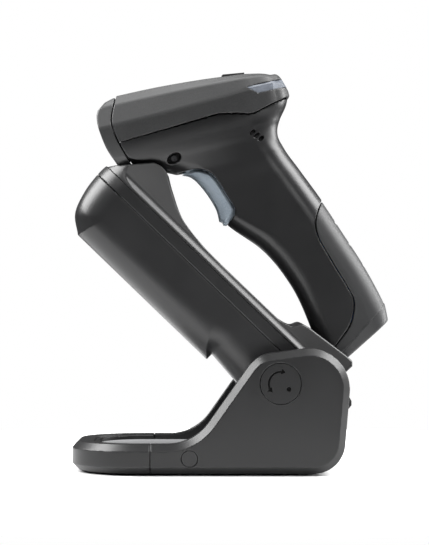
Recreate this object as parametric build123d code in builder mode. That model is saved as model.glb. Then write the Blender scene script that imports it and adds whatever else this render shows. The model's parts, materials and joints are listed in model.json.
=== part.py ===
"""Pistol-grip barcode scanner resting in its tilting charging cradle, on a foot.

Millimetres, +Z up. The origin is on the desk, on the middle plane, below the cradle's arm.
-X is the front, where the nose points, and -Y is the object's left side.
Each of the three assemblies is modelled upright in a frame of its own and then placed:
  scanner: origin at the top front of the nose, X back along the head, Z up through the head
  cradle:  origin on the tilt axis, X down along the arm, Z out of the arm's top cover
  base:    the shared frame itself
"""

from build123d import *
import os

# ---------------------------------------------------------------- driving dimensions
# placing of the assemblies
HEAD_TILT = 14.0                 # the head points this far down, degrees
ARM_TILT = 44.0                  # slope of the cradle's arm, degrees
NOSE_X, NOSE_Z = -64.7, 199.8    # top front of the nose
PIVOT_X, PIVOT_Z = 35.7, 50.0    # tilt axis
SCANNER = Location((NOSE_X, 0, NOSE_Z), (0, -HEAD_TILT, 0))
CRADLE = Location((PIVOT_X, 0, PIVOT_Z), (0, ARM_TILT, 0))
BASE = Location()

# walls and gaps
WALL = 2.2                       # moulded wall of the scanner
ARM_WALL = 2.5                   # moulded wall of cradle and base
SEAM = 0.3                       # open seam between two mouldings
FIT = 0.05                       # radial play of a running fit

# scanner head
HEAD_LENGTH = 105.2
HEAD_FLOOR = -26.0               # the head's form is carried this far down before trimming
BUTTON_X = 77.6                  # middle of the top button
BUTTON_LENGTH = 12.6
BUTTON_HALF_WIDTH = 8.0
WINDOW_HALF_WIDTH = 25.0
WINDOW_LOW, WINDOW_HIGH = -26.5, -3.5

# scanner grip
TRIGGER_HALF_WIDTH = 15.2
TRIGGER_PIVOT = (40.5, -39.5)
TRIGGER_PIN_R = 1.5
CELL_R, CELL_LENGTH = 9.2, 62.0  # cylindrical battery cell with its sleeve
CELL_LEAN = 16.5                 # lean of the battery from the head's vertical, degrees
CELL_CENTRE = (99.5, -118.4)

# cradle arm
ARM_HALF_WIDTH = 34.0
ARM_TOP_END = -152.0             # upper end of the arm
ARM_LOW_END = 22.4               # lower end of the arm
ARM_UNDERSIDE = -19.3
ARM_ROUND = 18.0                 # rounding of the arm's lower long edges
STEP_X, STEP_HEIGHT = -37.0, 4.0 # the underside steps in here to pass between the ears
HUB_R = 24.2                     # rounded lower end of the arm about the tilt axis
BACK_TOP = 12.4                  # seam between back shell and band
BAND_TOP = 20.0                  # seam between band and top cover
SHAFT_R = 8.0
FLANK_INNER = 25.8               # half the gap between the head rest's flanks
BUSH_R = 11.0
HUB_BOSS_R, HUB_BOSS_Y = 12.0, 26.5   # solid bosses round the shafts, from this Y outwards

# base
BASE_HALF_WIDTH = 50.0
EAR_INNER = 36.0                 # inner face of the ears
EAR_COVER = 2.0                  # thickness of the ears' inner covers
FOOT_HEIGHT = 1.2                # rubber feet
RIM_Z = 17.0                     # top of the foot's rim
BASE_FRONT = -78.7
RING_SEAM_X = -34.8
RING_CORNER_R = 38.0
BASE_BACK = 70.0
EDGE_CHAMFER = 3.6
TRAY_Z = 14.0
CAP_R = 11.0
LATCH_X, LATCH_Z, LATCH_R = -13.5, 9.5, 4.25
BOLT_SPACING_X, BOLT_SPACING_Y, BOLT_R = 60.0, 40.0, 2.1


# ---------------------------------------------------------------- helpers
def save(name, part, place):
    """Put a finished piece in the shared frame, label it and write its STEP file."""
    placed = part.moved(place)
    placed.label = name
    export_step(placed, f"parts/{name}.step")


def slab(points, y_low, y_high):
    """A polygon drawn in side view, extruded across the object from y_low to y_high."""
    with BuildPart() as body:
        with BuildSketch(Plane.XZ.offset(-y_high)):
            with BuildLine():
                Polyline(*points, close=True)
            make_face()
        extrude(amount=y_high - y_low)
    return body.part


def block(low, high):
    """A box between two corners."""
    with BuildPart() as body:
        centre = [(a + b) / 2 for a, b in zip(low, high)]
        with Locations(tuple(centre)):
            Box(*[b - a for a, b in zip(low, high)])
    return body.part


def cross_disc(x, z, radius, y_low, y_high, hole=0.0):
    """A disc or ring whose axis runs across the object."""
    with BuildPart() as body:
        with BuildSketch(Plane.XZ.offset(-y_high)):
            with Locations((x, z)):
                Circle(radius)
                if hole:
                    Circle(hole, mode=Mode.SUBTRACT)
        extrude(amount=y_high - y_low)
    return body.part


def polar(radius, angle):
    """A point at a radius and an angle in degrees from the origin, in side view."""
    return tuple(Vector(radius, 0).rotate(Axis.Z, angle))[:2]


def both_sides(part):
    """A piece and its mirror image on the other side of the middle plane."""
    with BuildPart() as pair:
        add(part)
        mirror(about=Plane.XZ)
    return pair.part


def coil(x, y, z, radius, wire, pitch, turns, axis="Y"):
    """A compression spring, drawn as its stacked turns joined into one solid sleeve."""
    spin = {"X": (0, 90, 0), "Y": (90, 0, 0), "Z": (0, 0, 0)}[axis]
    length = pitch * turns
    with BuildPart() as spring:
        with Locations(Location((x, y, z), spin)):
            Cylinder(radius - wire / 4, length)
            Cylinder(radius - wire, length, mode=Mode.SUBTRACT)
        offsets = [(k + 0.5) * pitch - length / 2 for k in range(turns)]
        for along in offsets:
            with Locations(Location((x, y, z), spin) * Location((0, 0, along))):
                Torus(radius - wire / 2, wire / 2)
    return spring.part


# ---------------------------------------------------------------- scanner: master forms
# Half sections of the head, front to back: x, top height, half width of the flat top,
# shoulder (half width, height), waist (half width, height), half width at the floor.
HEAD_STATIONS = [
    (4.0, 4.9, 20.0, (28.0, -0.3), (33.0, -11.6), 30.6),
    (37.0, 3.9, 20.0, (28.0, -1.2), (33.0, -11.4), 30.6),
    (71.0, 1.1, 19.0, (26.6, -2.4), (31.6, -10.2), 29.2),
    (86.0, -0.7, 17.0, (24.4, -3.3), (29.2, -9.5), 27.0),
    (97.0, -3.6, 13.5, (20.0, -5.0), (24.6, -9.4), 22.8),
    (103.0, -7.0, 8.5, (13.5, -8.0), (17.6, -10.6), 16.8),
    (HEAD_LENGTH, -13.5, 5.0, (8.0, -14.0), (10.6, -14.8), 10.4),
]


def head_form(inset=0.0):
    """The faceted head as a ruled loft, drawn in by the wall's thickness for its inside."""
    with BuildPart() as form:
        for x, top, flat, shoulder, waist, floor in HEAD_STATIONS:
            station = min(x, HEAD_LENGTH - 1.3 * inset)
            with BuildSketch(Plane.YZ.offset(station)):
                with BuildLine():
                    Polyline(
                        (0, HEAD_FLOOR - inset),
                        (floor - inset, HEAD_FLOOR - inset),
                        (waist[0] - inset, waist[1]),
                        (shoulder[0] - inset, shoulder[1] - inset / 2),
                        (flat - inset / 2, top - 0.4 - inset),
                        (0, top - inset),
                        close=True,
                    )
                make_face()
                mirror(about=Plane.YZ)
        loft(ruled=True)
    return form.part


# Level sections of the lower head and grip: height, front x, front half width and corner
# radius, back x, back half width and corner radius.
GRIP_STATIONS = [
    (-14.0, 6.0, 31.6, 3.0, 105.6, 20.0, 17.0),
    (-22.0, 8.0, 30.9, 3.0, 102.4, 20.0, 17.0),
    (-30.0, 10.2, 28.4, 4.0, 96.4, 18.6, 15.0),
    (-37.0, 19.0, 24.0, 6.0, 93.8, 17.8, 14.0),
    (-45.0, 34.5, 19.6, 8.0, 95.4, 17.4, 13.0),
    (-58.0, 45.0, 17.8, 9.0, 100.6, 17.2, 13.0),
    (-78.0, 54.0, 17.4, 9.0, 108.7, 17.2, 13.0),
    (-97.0, 70.0, 17.0, 10.0, 115.4, 17.4, 13.0),
    (-120.0, 80.8, 16.6, 10.0, 123.2, 17.6, 13.0),
    (-146.0, 86.0, 16.6, 9.0, 129.4, 17.8, 13.0),
    (-182.0, 88.0, 16.8, 9.0, 131.0, 18.0, 13.0),
]
GRIP_FLOOR = [(129.9, -153.4), (87.0, -174.6)]   # slanted bottom of the grip, back to front


def grip_form(inset=0.0):
    """Lower head and grip as a smooth loft of rounded level sections, cut at the slanted floor."""
    with BuildPart() as form:
        for z, front, front_w, front_r, back, back_w, back_r in GRIP_STATIONS:
            x0, x1 = front + inset, back - inset
            w0, w1 = front_w - inset, back_w - inset
            with BuildSketch(Plane.XY.offset(z)):
                with BuildLine():
                    FilletPolyline((x0, -w0), (x0, w0), (x1, w1), (x1, -w1),
                                   radius=[front_r, front_r, back_r, back_r], close=True)
                make_face()
        loft()
        (xb, zb), (xf, zf) = GRIP_FLOOR
        add(slab([(xb + 30, zb + 14.8 + inset), (xf - 30, zf - 14.8 + inset), (60, -200), (170, -200)],
                 -40, 40), mode=Mode.SUBTRACT)
    return form.part



# Seam between the nose bezel and the rest, in side view, top to bottom.
BEZEL_SEAM = [(10.4, 1.5), (6.2, -9.5), (7.4, -21.2), (11.8, -36.5)]


def ahead_of_bezel_seam(shift):
    """Everything in front of the bezel's seam, with the seam moved back by shift."""
    with BuildPart() as region:
        with BuildSketch(Plane.XZ):
            with BuildLine():
                seam = Spline(*[(x + shift, z) for x, z in BEZEL_SEAM])
                top = Polyline(seam @ 0, (13.0 + shift, 8.0), (-20, 8.0), (-20, -36.5), seam @ 1)
            make_face()
        extrude(amount=40, both=True)
    return region.part


def below_shell_edge(drop):
    """Everything under the top shell's lower edge, which dips behind the trigger."""
    with BuildPart() as region:
        with BuildSketch(Plane.XZ):
            with BuildLine():
                front = Line((-20, -22.5 - drop), (64, -18.9 - drop))
                dip = Spline(front @ 1, (73.5, -20.8 - drop), (82, -22.9 - drop),
                             tangents=[(1, 0.04), (1, 0.12)])
                rear = Line(dip @ 1, (110, -17.0 - drop))
                Polyline(rear @ 1, (150, -17.0 - drop), (150, -200), (-20, -200), front @ 0)
            make_face()
        extrude(amount=40, both=True)
    return region.part


# Seam in front of the battery door, in side view, top to bottom.
DOOR_SEAM = [(110.5, -76.5), (103.2, -86.5), (101.4, -96.5), (105.2, -111.5), (110.6, -129.0),
             (111.9, -138.0), (106.8, -149.0), (95.9, -158.8), (91.0, -164.0)]


def behind_door_seam(shift):
    """Everything behind the battery door's seam, with the seam moved back by shift."""
    with BuildPart() as region:
        with BuildSketch(Plane.XZ):
            with BuildLine():
                seam = Spline(*[(x + shift, z) for x, z in DOOR_SEAM])
                Polyline(seam @ 1, (91 + shift, -190), (150, -190), (150, -76.5), seam @ 0)
            make_face()
        extrude(amount=40, both=True)
    return region.part


# ---------------------------------------------------------------- scanner: casings
def head_top_shell():
    """Faceted upper half of the head, with holes for the button and the status light."""
    with BuildPart() as shell:
        add(head_form())
        add(head_form(WALL), mode=Mode.SUBTRACT)
        add(ahead_of_bezel_seam(SEAM / 2), mode=Mode.SUBTRACT)
        add(below_shell_edge(-SEAM / 2), mode=Mode.SUBTRACT)
        add(status_light_space(0.0), mode=Mode.SUBTRACT)
        add(block((BUTTON_X - 4.8, -5.8, -8), (BUTTON_X + 4.8, 5.8, 10)), mode=Mode.SUBTRACT)
    return shell.part


def status_light_space(shrink):
    """The band round the back of the head that the status light fills."""
    low, high = -13.2 + shrink, -8.6 - shrink
    return slab([(82.6 + 3 * shrink, high), (88.0 + shrink, low), (120, low + 0.6), (120, high + 0.8)],
                -40, 40)


def status_light_guide():
    """Translucent band set flush in the shell, along both sides and round the back."""
    with BuildPart() as guide:
        add(head_form())
        add(head_form(WALL), mode=Mode.SUBTRACT)
        add(status_light_space(0.1), mode=Mode.INTERSECT)
    return guide.part


def nose_form():
    """Front end of the head: a six-sided section with a chamfered top and a bowed face."""
    with BuildPart() as nose:
        with BuildSketch(Plane.YZ.offset(-4)):
            with BuildLine():
                Polyline((0, -33.9), (25.5, -33.9), (28.4, -30.5), (31.2, -22.0), (33.0, -11.6),
                         (28.0, -0.3), (20.0, 4.6), (0, 4.9), close=True)
            make_face()
            mirror(about=Plane.YZ)
        extrude(amount=22)
        with BuildSketch(Plane.XZ):
            with BuildLine():
                face = ThreePointArc((3.3, -32.0), (-1.4, -12.0), (0.2, -1.5))
                Polyline(face @ 1, (9.6, 4.8), (18, 5.3), (18, -35.3), face @ 0)
            make_face()
        extrude(amount=40, both=True, mode=Mode.INTERSECT)
    return nose.part


def nose_bezel():
    """Frame round the scan window."""
    middle = (WINDOW_LOW + WINDOW_HIGH) / 2
    height = WINDOW_HIGH - WINDOW_LOW
    with BuildPart() as bezel:
        add(nose_form())
        add(ahead_of_bezel_seam(-SEAM / 2), mode=Mode.INTERSECT)
        with BuildSketch(Plane.YZ.offset(-4)):
            with Locations((0, middle)):
                RectangleRounded(2 * WINDOW_HALF_WIDTH, height, 4)
        extrude(amount=24, mode=Mode.SUBTRACT)
    return bezel.part


def scan_window():
    """Clear pane across the bezel's opening."""
    with BuildPart() as pane:
        with BuildSketch(Plane.YZ.offset(3.6)):
            with Locations((0, (WINDOW_LOW + WINDOW_HIGH) / 2)):
                RectangleRounded(2 * WINDOW_HALF_WIDTH - 0.1, WINDOW_HIGH - WINDOW_LOW - 0.1, 4)
        extrude(amount=1.5)
    return pane.part


# Open space for the trigger in the front of the grip, in side view.
TRIGGER_GAP = [(44.2, -44.7), (49.2, -46.4), (54.1, -51.6), (60.0, -68.7), (60.4, -72.1),
               (58.7, -75.3), (53.4, -79.4)]


def trigger_space():
    """Cut that opens the front of the grip for the trigger."""
    with BuildPart() as space:
        with BuildSketch(Plane.XZ):
            with BuildLine():
                top = Line((20, -44.2), TRIGGER_GAP[0])
                gap = Spline(*TRIGGER_GAP)
                Polyline(gap @ 1, (44, -84), (20, -84), top @ 0)
            make_face()
        extrude(amount=40, both=True)
    return space.part


def grip_housing():
    """Lower head and grip in one moulding, open at the top, the trigger and the battery door."""
    with BuildPart() as housing:
        add(grip_form())
        add(grip_form(WALL), mode=Mode.SUBTRACT)
        add(ahead_of_bezel_seam(SEAM / 2), mode=Mode.SUBTRACT)
        add(below_shell_edge(SEAM / 2), mode=Mode.INTERSECT)
        add(behind_door_seam(-SEAM / 2), mode=Mode.SUBTRACT)
        add(trigger_space(), mode=Mode.SUBTRACT)
        add(slab([(50, -48), (66, -66), (66, -77), (54, -77)], -15.3, 15.3), mode=Mode.SUBTRACT)
        add(block((35, -7.2, -52), (52, 7.2, -36)), mode=Mode.SUBTRACT)
        add(block((0, -25.5, -30.6), (16, 25.5, -10)), mode=Mode.SUBTRACT)
        for x, z in VENTS:
            add(side_hole(x, z, 1.5, 0.9, 32), mode=Mode.SUBTRACT)
        add(side_hole(*SIDE_SCREW, 2.9, 2.0, 16), mode=Mode.SUBTRACT)
    return housing.part


VENTS = [(80.1, -32.8), (82.0, -35.0), (83.9, -37.2)]
SIDE_SCREW = (34.6, -36.6)


def side_hole(x, z, half_length, half_height, lean):
    """An oval hole through both side walls, leaning up towards the back."""
    with BuildPart() as hole:
        with BuildSketch(Plane.XZ):
            with Locations(Location((x, z), lean)):
                Ellipse(half_length, half_height)
        extrude(amount=40, both=True)
    return hole.part


def battery_door():
    """Rear of the grip and its bottom cap, with four grooves across the back."""
    with BuildPart() as door:
        add(grip_form())
        add(grip_form(WALL), mode=Mode.SUBTRACT)
        add(behind_door_seam(SEAM / 2), mode=Mode.INTERSECT)
        for x, z in [(114.4, -92.0), (119.2, -105.4), (123.9, -118.8), (128.0, -132.4)]:
            with Locations((x, 0, z)):
                Cylinder(0.9, 24, rotation=(90, 0, 0), mode=Mode.SUBTRACT)
        add(charge_pads(2.3), mode=Mode.SUBTRACT)
    return door.part


# ---------------------------------------------------------------- scanner: insides
FLOOR_SLOPE = 26.3               # slope of the grip's bottom, degrees
PAD_X, PAD_Z, PAD_Y = 95.0, -170.65, 6.0


def charge_pads(thickness):
    """Two contact pads in the bottom of the grip, flush with its surface."""
    place = Location((PAD_X, 0, PAD_Z), (0, -FLOOR_SLOPE, 0))
    with BuildPart() as pads:
        with Locations(place * Location((0, -PAD_Y, thickness / 2)),
                       place * Location((0, PAD_Y, thickness / 2))):
            Cylinder(2.2, thickness)
    return pads.part


def scan_engine():
    """Camera module: a housing with sockets for its lenses."""
    with BuildPart() as engine:
        add(block((12, -17, -25.6), (32, 17, -6)))
        add(engine_lens(0, -14, 5.0), mode=Mode.SUBTRACT)
        add(both_sides(engine_lens(11, -14, 3.6)), mode=Mode.SUBTRACT)
        add(engine_lens(0, -22.4, 1.8), mode=Mode.SUBTRACT)
    return engine.part


def engine_lens(y, z, radius):
    """A lens barrel seated 4 mm deep in the front of the scan engine."""
    with BuildPart() as lens:
        with BuildSketch(Plane.YZ.offset(9.5)):
            with Locations((y, z)):
                Circle(radius)
        extrude(amount=6.5)
        fillet(lens.edges().sort_by(Axis.X)[0], radius=0.8)
    return lens.part


def inner_frame():
    """Tray that carries scan engine and main board, with two lugs for the trigger's pin."""
    x, z = TRIGGER_PIVOT
    with BuildPart() as frame:
        add(block((14.5, -17.2, -28), (86, 17.2, -26)))
        with Locations(*[(px, py, -21) for px in (40, 82) for py in (-13, 13)]):
            Cylinder(2.2, 10)
        add(both_sides(slab([(x - 3.5, z), (x - 1.8, z - 3.2), (x + 1.8, z - 3.2), (x + 3.5, z),
                             (x + 6, -27), (x - 6, -27)], 8.0, 10.0)))
        add(cross_disc(x, z, TRIGGER_PIN_R, -12, 12), mode=Mode.SUBTRACT)
    return frame.part


def main_board():
    """Circuit board with its chips, on the frame's four posts."""
    with BuildPart() as board:
        add(block((37, -19, -16), (90, 19, -14.4)))
        add(block((44, -9, -14.4), (58, 5, -12.8)))
        add(block((62, -14, -14.4), (68, -8, -13.2)))
        add(block((60, 2, -14.4), (66, 12, -13.4)))
    return board.part


def beeper():
    """Round sounder under the board."""
    with BuildPart() as sounder:
        with Locations((66, 0, -18.2)):
            Cylinder(6, 4.4)
        with Locations((66, 0, -20.2)):
            Cylinder(1.2, 1, mode=Mode.SUBTRACT)
    return sounder.part


def top_button():
    """Raised push button: a tapered cap over a stem that reaches its switch."""
    x0, x1 = BUTTON_X - BUTTON_LENGTH / 2, BUTTON_X + BUTTON_LENGTH / 2
    with BuildPart() as button:
        add(slab([(x0, 2.45), (x0 + 0.9, 2.95), (x1, 1.15), (x1, 0.5), (x0 + 0.6, 2.2)],
                 -BUTTON_HALF_WIDTH, BUTTON_HALF_WIDTH))
        add(block((BUTTON_X - 4.4, -5.4, -9.6), (BUTTON_X + 4.4, 5.4, 1.45)))
    return button.part


def button_switch():
    """Low dome switch on the board, under the top button."""
    with BuildPart() as switch:
        add(block((BUTTON_X - 3, -3, -14.4), (BUTTON_X + 3, 3, -11.8)))
        with Locations((BUTTON_X, 0, -11.4)):
            Cylinder(1.6, 0.8)
    return switch.part


def trigger():
    """Curved finger trigger with a lug on its pivot pin and a block that works the switch."""
    x, z = TRIGGER_PIVOT
    with BuildPart() as lever:
        with BuildSketch(Plane.XZ):
            with BuildLine():
                face = Spline((34.4, -45.0), (41.3, -48.6), (46.4, -57.4), (50.0, -68.3), (50.2, -76.0))
                foot = Line(face @ 1, (53.7, -77.9))
                back = Spline(foot @ 1, (58.2, -75.0), (59.7, -71.8), (59.3, -68.7), (53.5, -52.0),
                              (48.9, -47.1), (44.0, -45.2))
                Line(back @ 1, face @ 0)
            make_face()
        extrude(amount=TRIGGER_HALF_WIDTH - 0.4, both=True)
        add(slab([(x - 3.2, z + 2), (x + 3.2, z + 2), (50, -52), (42, -47)], -5, 5))
        add(cross_disc(x, z, 3.4, -5, 5))
        add(slab([(50, -52), (57.5, -57), (60.8, -66), (57, -67)], -8, 8))
        add(cross_disc(x, z, TRIGGER_PIN_R + FIT, -6, 6), mode=Mode.SUBTRACT)
    return lever.part


def trigger_pin():
    """Pivot pin held in the frame's two lugs."""
    return cross_disc(*TRIGGER_PIVOT, TRIGGER_PIN_R, -10.6, 10.6)


def trigger_spring():
    """Torsion spring's coils round the pin, one on each side of the trigger's lug."""
    return both_sides(cross_disc(*TRIGGER_PIVOT, 2.9, 5.5, 7.7, hole=1.75))


def trigger_switch():
    """Microswitch behind the trigger, on a bracket."""
    with BuildPart() as switch:
        add(block((66.5, -6.5, -70), (73, 6.5, -56)))
        add(block((65.2, -1.5, -65), (66.5, 1.5, -62)))
    return switch.part


def battery_pack():
    """Cylindrical cell in its sleeve, with a plug block at its upper end."""
    x, z = CELL_CENTRE
    place = Location((x, 0, z), (0, -CELL_LEAN, 0))
    with BuildPart() as pack:
        with Locations(place):
            Cylinder(CELL_R, CELL_LENGTH)
        with Locations(place * Location((0, 0, CELL_LENGTH / 2 + 1.5))):
            Cylinder(3.2, 3)
    return pack.part


def battery_contacts():
    """Contact plate above the cell."""
    x, z = CELL_CENTRE
    place = Location((x, 0, z), (0, -CELL_LEAN, 0)) * Location((0, 0, CELL_LENGTH / 2 + 4.2))
    with BuildPart() as contacts:
        with Locations(place):
            Box(16, 14, 1.6)
    return contacts.part


def housing_screws():
    """Two screws that tie the grip housing to the frame, deep in their oval recesses."""
    x, z = SIDE_SCREW
    with BuildPart() as screw:
        add(cross_disc(x, z, 1.6, 20.2, 22.0))
        add(cross_disc(x, z, 0.9, 14.0, 20.2))
    return both_sides(screw.part)


# ---------------------------------------------------------------- cradle
def arm_form(inset=0.0):
    """The arm's outer form below the top cover, drawn in by the wall for its inside."""
    i, hub_r = inset, HUB_R - inset
    floor = ARM_UNDERSIDE + i
    with BuildPart() as form:
        with BuildSketch(Plane.XZ):
            with BuildLine():
                end = Spline((-150.6 + i, 22.0), (ARM_TOP_END + i, 15.0), (-150.3 + i, 2.0),
                             (-145.6 + 0.9 * i, -11.5 + 0.5 * i), (-136.0, floor),
                             tangents=[(-0.3, -1), (1, 0)])
                under = Polyline(end @ 1, (STEP_X - i, floor), (STEP_X - i, floor + STEP_HEIGHT),
                                 polar(hub_r, 225))
                turn = ThreePointArc(under @ 1, polar(hub_r, 270), polar(hub_r, 337))
                Polyline(turn @ 1, (ARM_LOW_END - i, 0), (ARM_LOW_END - i, 22.0), end @ 0)
            make_face()
        extrude(amount=60, both=True)
        half, bottom = ARM_HALF_WIDTH - i, ARM_UNDERSIDE + i
        with BuildSketch(Plane.YZ.offset(-170)):
            with BuildLine():
                FilletPolyline((-half, 40), (-half, bottom), (half, bottom), (half, 40),
                               radius=ARM_ROUND - i)
                Line((-half, 40), (half, 40))
            make_face()
        extrude(amount=220, mode=Mode.INTERSECT)
        with BuildSketch(Plane.XY.offset(-40)):
            with BuildLine():
                FilletPolyline((40, -half), (ARM_TOP_END - 0.5 + i, -half),
                               (ARM_TOP_END - 0.5 + i, half), (40, half), radius=22 - i)
                Line((40, -half), (40, half))
            make_face()
        extrude(amount=90, mode=Mode.INTERSECT)
    return form.part


def arm_ring(z_low, z_high):
    """The arm's wall between two levels."""
    with BuildPart() as ring:
        add(arm_form())
        add(block((-170, -50, z_low), (40, 50, z_high)), mode=Mode.INTERSECT)
        add(arm_form(ARM_WALL), mode=Mode.SUBTRACT)
    return ring.part


ARM_SCREWS = [(x, y) for x in (-118, -54) for y in (-11, 11)]


def cradle_back_shell():
    """Deep U-section shell of the arm, with screw bosses and the bores for the pivot shafts."""
    with BuildPart() as shell:
        add(arm_ring(-60, BACK_TOP - SEAM / 2))
        with Locations(*[(x, y, -8.0) for x, y in ARM_SCREWS]):
            Cylinder(3.4, 19)
        with Locations(*[(x, y, -12.0) for x, y in ARM_SCREWS]):
            Cylinder(1.3, 26, mode=Mode.SUBTRACT)
        with Locations(*[(x, y, ARM_UNDERSIDE) for x, y in ARM_SCREWS]):
            Cylinder(2.7, 3.6, mode=Mode.SUBTRACT)
        add(both_sides(cross_disc(0, 0, HUB_BOSS_R, HUB_BOSS_Y, ARM_HALF_WIDTH)))
        add(cross_disc(0, 0, SHAFT_R, -40, 40), mode=Mode.SUBTRACT)
        with BuildSketch(Plane.XY.offset(-30)):
            with Locations((-126.4, -13), (-126.4, 13)):
                SlotOverall(9, 4.4)
        extrude(amount=14, mode=Mode.SUBTRACT)
    return shell.part


def cradle_screws():
    """Four screws in the underside of the arm."""
    with BuildPart() as screws:
        with Locations(*[(x, y, ARM_UNDERSIDE + 0.9) for x, y in ARM_SCREWS]):
            Cylinder(2.6, 1.6)
        with Locations(*[(x, y, -11.0) for x, y in ARM_SCREWS]):
            Cylinder(1.25, 14.0)
        with Locations(*[(x, y, ARM_UNDERSIDE + 0.3) for x, y in ARM_SCREWS]):
            Cylinder(0.9, 1.2, mode=Mode.SUBTRACT)
    return screws.part


def cradle_band():
    """Plain band between the back shell and the top cover."""
    return arm_ring(BACK_TOP + SEAM / 2, BAND_TOP - SEAM / 2)


def docked(part):
    """A piece given in the scanner's frame, as it stands in the cradle's frame."""
    return part.moved(CRADLE.inverse() * SCANNER)


def cradle_top_cover():
    """Cover with a crowned ridge, the head rest at its top and the grip's pocket at its foot."""
    low = BAND_TOP + SEAM / 2
    with BuildPart() as cover:
        with BuildSketch(Plane.XZ):
            with BuildLine():
                rest = Polyline((-150.4, low), (-150.2, 22.2), (-148.2, 22.9), (-131.3, 41.0),
                                (-125.5, 40.4))
                slope = Spline(rest @ 1, (-116, 34.6), (-101.5, 27.6), (-84, 24.6), (-68, 24.0),
                               tangents=[(1, -0.2), (1, 0)])
                ridge = Line(slope @ 1, (-24, 24.2))
                lip = Spline(ridge @ 1, (-16.6, 26.4), (-13.6, 31.0), (-8.5, 32.8),
                             tangents=[(1, 0), (1, 0.1)])
                rim = Polyline(lip @ 1, (16.5, 35.8), (21.0, 35.8), (22.8, 33.7), (ARM_LOW_END, 28),
                               (ARM_LOW_END, low), (-150.4, low))
            make_face()
        extrude(amount=40, both=True)
        with BuildSketch(Plane.YZ.offset(-170)):
            with BuildLine():
                crown = Polyline((0, low - 1), (ARM_HALF_WIDTH, low - 1), (ARM_HALF_WIDTH, 21.6),
                                 (31.5, 24.6), (28.5, 34), (27.0, 44), (0, 44), close=True)
            make_face()
            mirror(about=Plane.YZ)
        extrude(amount=220, mode=Mode.INTERSECT)
        half = ARM_HALF_WIDTH
        with BuildSketch(Plane.XY):
            with BuildLine():
                FilletPolyline((40, -half), (ARM_TOP_END, -half), (ARM_TOP_END, half), (40, half),
                               radius=22)
                Line((40, -half), (40, half))
            make_face()
        extrude(amount=90, mode=Mode.INTERSECT)
        add(slab([(-143.0, 18), (-143.0, 23.6), (-131.0, 36.8), (-125.5, 36.6), (-110.0, 28.0),
                  (-97.0, 21.9), (-22.0, 21.9), (-14.0, 18)], -24, 24), mode=Mode.SUBTRACT)
        add(block((8, -21, 14.6), (ARM_LOW_END - ARM_WALL - 0.2, 21, low)))
        add(docked(head_rest_space()), mode=Mode.SUBTRACT)
        add(docked(pocket_space()), mode=Mode.SUBTRACT)
        add(docked(charge_pin_pair()), mode=Mode.SUBTRACT)
        add(light_bar(0), mode=Mode.SUBTRACT)
    return cover.part


def head_rest_space():
    """Space the head lies in, half a millimetre under its bottom, deeper between two low flanks."""
    with BuildPart() as space:
        add(slab([(-10, -31.4), (3.0, -32.7), (11.0, -34.3), (23.4, -36.2), (27, -39.5), (31, -46),
                  (40, -64), (70, -64), (70, 20), (-10, 20)], -40, 40))
        add(slab([(11.0, -34.3), (19.0, -38.2), (36.0, -46.6), (70, -64), (70, -30), (11.0, -30)],
                 -FLANK_INNER, FLANK_INNER))
    return space.part


def pocket_space():
    """Space for the foot of the grip, half a millimetre round it."""
    with BuildPart() as space:
        add(slab([(78, -118), (85.3, -146), (86.5, -175.4), (131, -153.4), (136, -120)], -18.8, 18.8))
    return space.part


def charge_pin_pair():
    """Two spring pins that meet the pads in the bottom of the grip."""
    place = Location((PAD_X, 0, PAD_Z), (0, -FLOOR_SLOPE, 0))
    with BuildPart() as pins:
        with Locations(place * Location((0, -PAD_Y, -1.75)), place * Location((0, PAD_Y, -1.75))):
            Cylinder(1.0, 2.9)
    return pins.part


def light_bar(clearance):
    """Indicator strip let into the ridge of the top cover."""
    return block((-68.3 + clearance, -2.5 + clearance, 22.6), (-45.3 - clearance, 2.5 - clearance, 25))


def cradle_light_bar():
    """Indicator strip, trimmed flush with the ridge."""
    with BuildPart() as bar:
        add(light_bar(0.05))
        add(block((-80, -5, 22), (-40, 5, 24.05)), mode=Mode.INTERSECT)
    return bar.part


def cradle_board():
    """Charging board on the back shell's bosses."""
    with BuildPart() as board:
        add(block((-126, -22, 1.5), (-46, 22, 3.1)))
        add(block((-110, -12, 3.1), (-92, 4, 5.0)))
        add(block((-80, -8, 3.1), (-70, 8, 6.0)))
    return board.part


def pivot_shafts():
    """Two hollow stub shafts with flanges inside the arm's side walls."""
    with BuildPart() as shaft:
        add(cross_disc(0, 0, SHAFT_R, HUB_BOSS_Y - 2.5, 45.5, hole=4.0))
        add(cross_disc(0, 0, 11.5, HUB_BOSS_Y - 2.5, HUB_BOSS_Y, hole=4.0))
    return both_sides(shaft.part)


def detent_disc():
    """Notched disc on the left shaft that the tilt clicks round on."""
    flange = 2.5 - HUB_BOSS_Y
    with BuildPart() as disc:
        add(cross_disc(0, 0, 13.0, flange, flange + 2.8, hole=4.2))
        with Locations(*[Location((0, 0, 0), (0, turn, 0)) * Location((13.4, flange + 1.4, 0))
                         for turn in range(0, 360, 30)]):
            Cylinder(1.4, 8, rotation=(90, 0, 0), mode=Mode.SUBTRACT)
    return disc.part


# ---------------------------------------------------------------- base
def ear_outline(inset=0.0):
    """Side view of foot and ear: level rim, rising edge, crown, back and bottom."""
    with BuildSketch(Plane.XZ) as outline:
        with BuildLine():
            FilletPolyline((RING_SEAM_X, FOOT_HEIGHT), (RING_SEAM_X, RIM_Z), (-11.4, RIM_Z),
                           (22.9, 65.4), (75.4, 72.2), (69.4, FOOT_HEIGHT),
                           radius=[0, 0, 28, 17, 22, 17], close=True)
        make_face()
        if inset:
            offset(amount=-inset, kind=Kind.INTERSECTION)
    return outline.sketch


def ear_plate(inset, y_low, y_high):
    """A plate with the ear's outline, on the right side of the object."""
    with BuildPart() as plate:
        extrude(ear_outline(inset).moved(Location((0, y_high, 0))), amount=y_high - y_low)
    return plate.part


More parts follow.
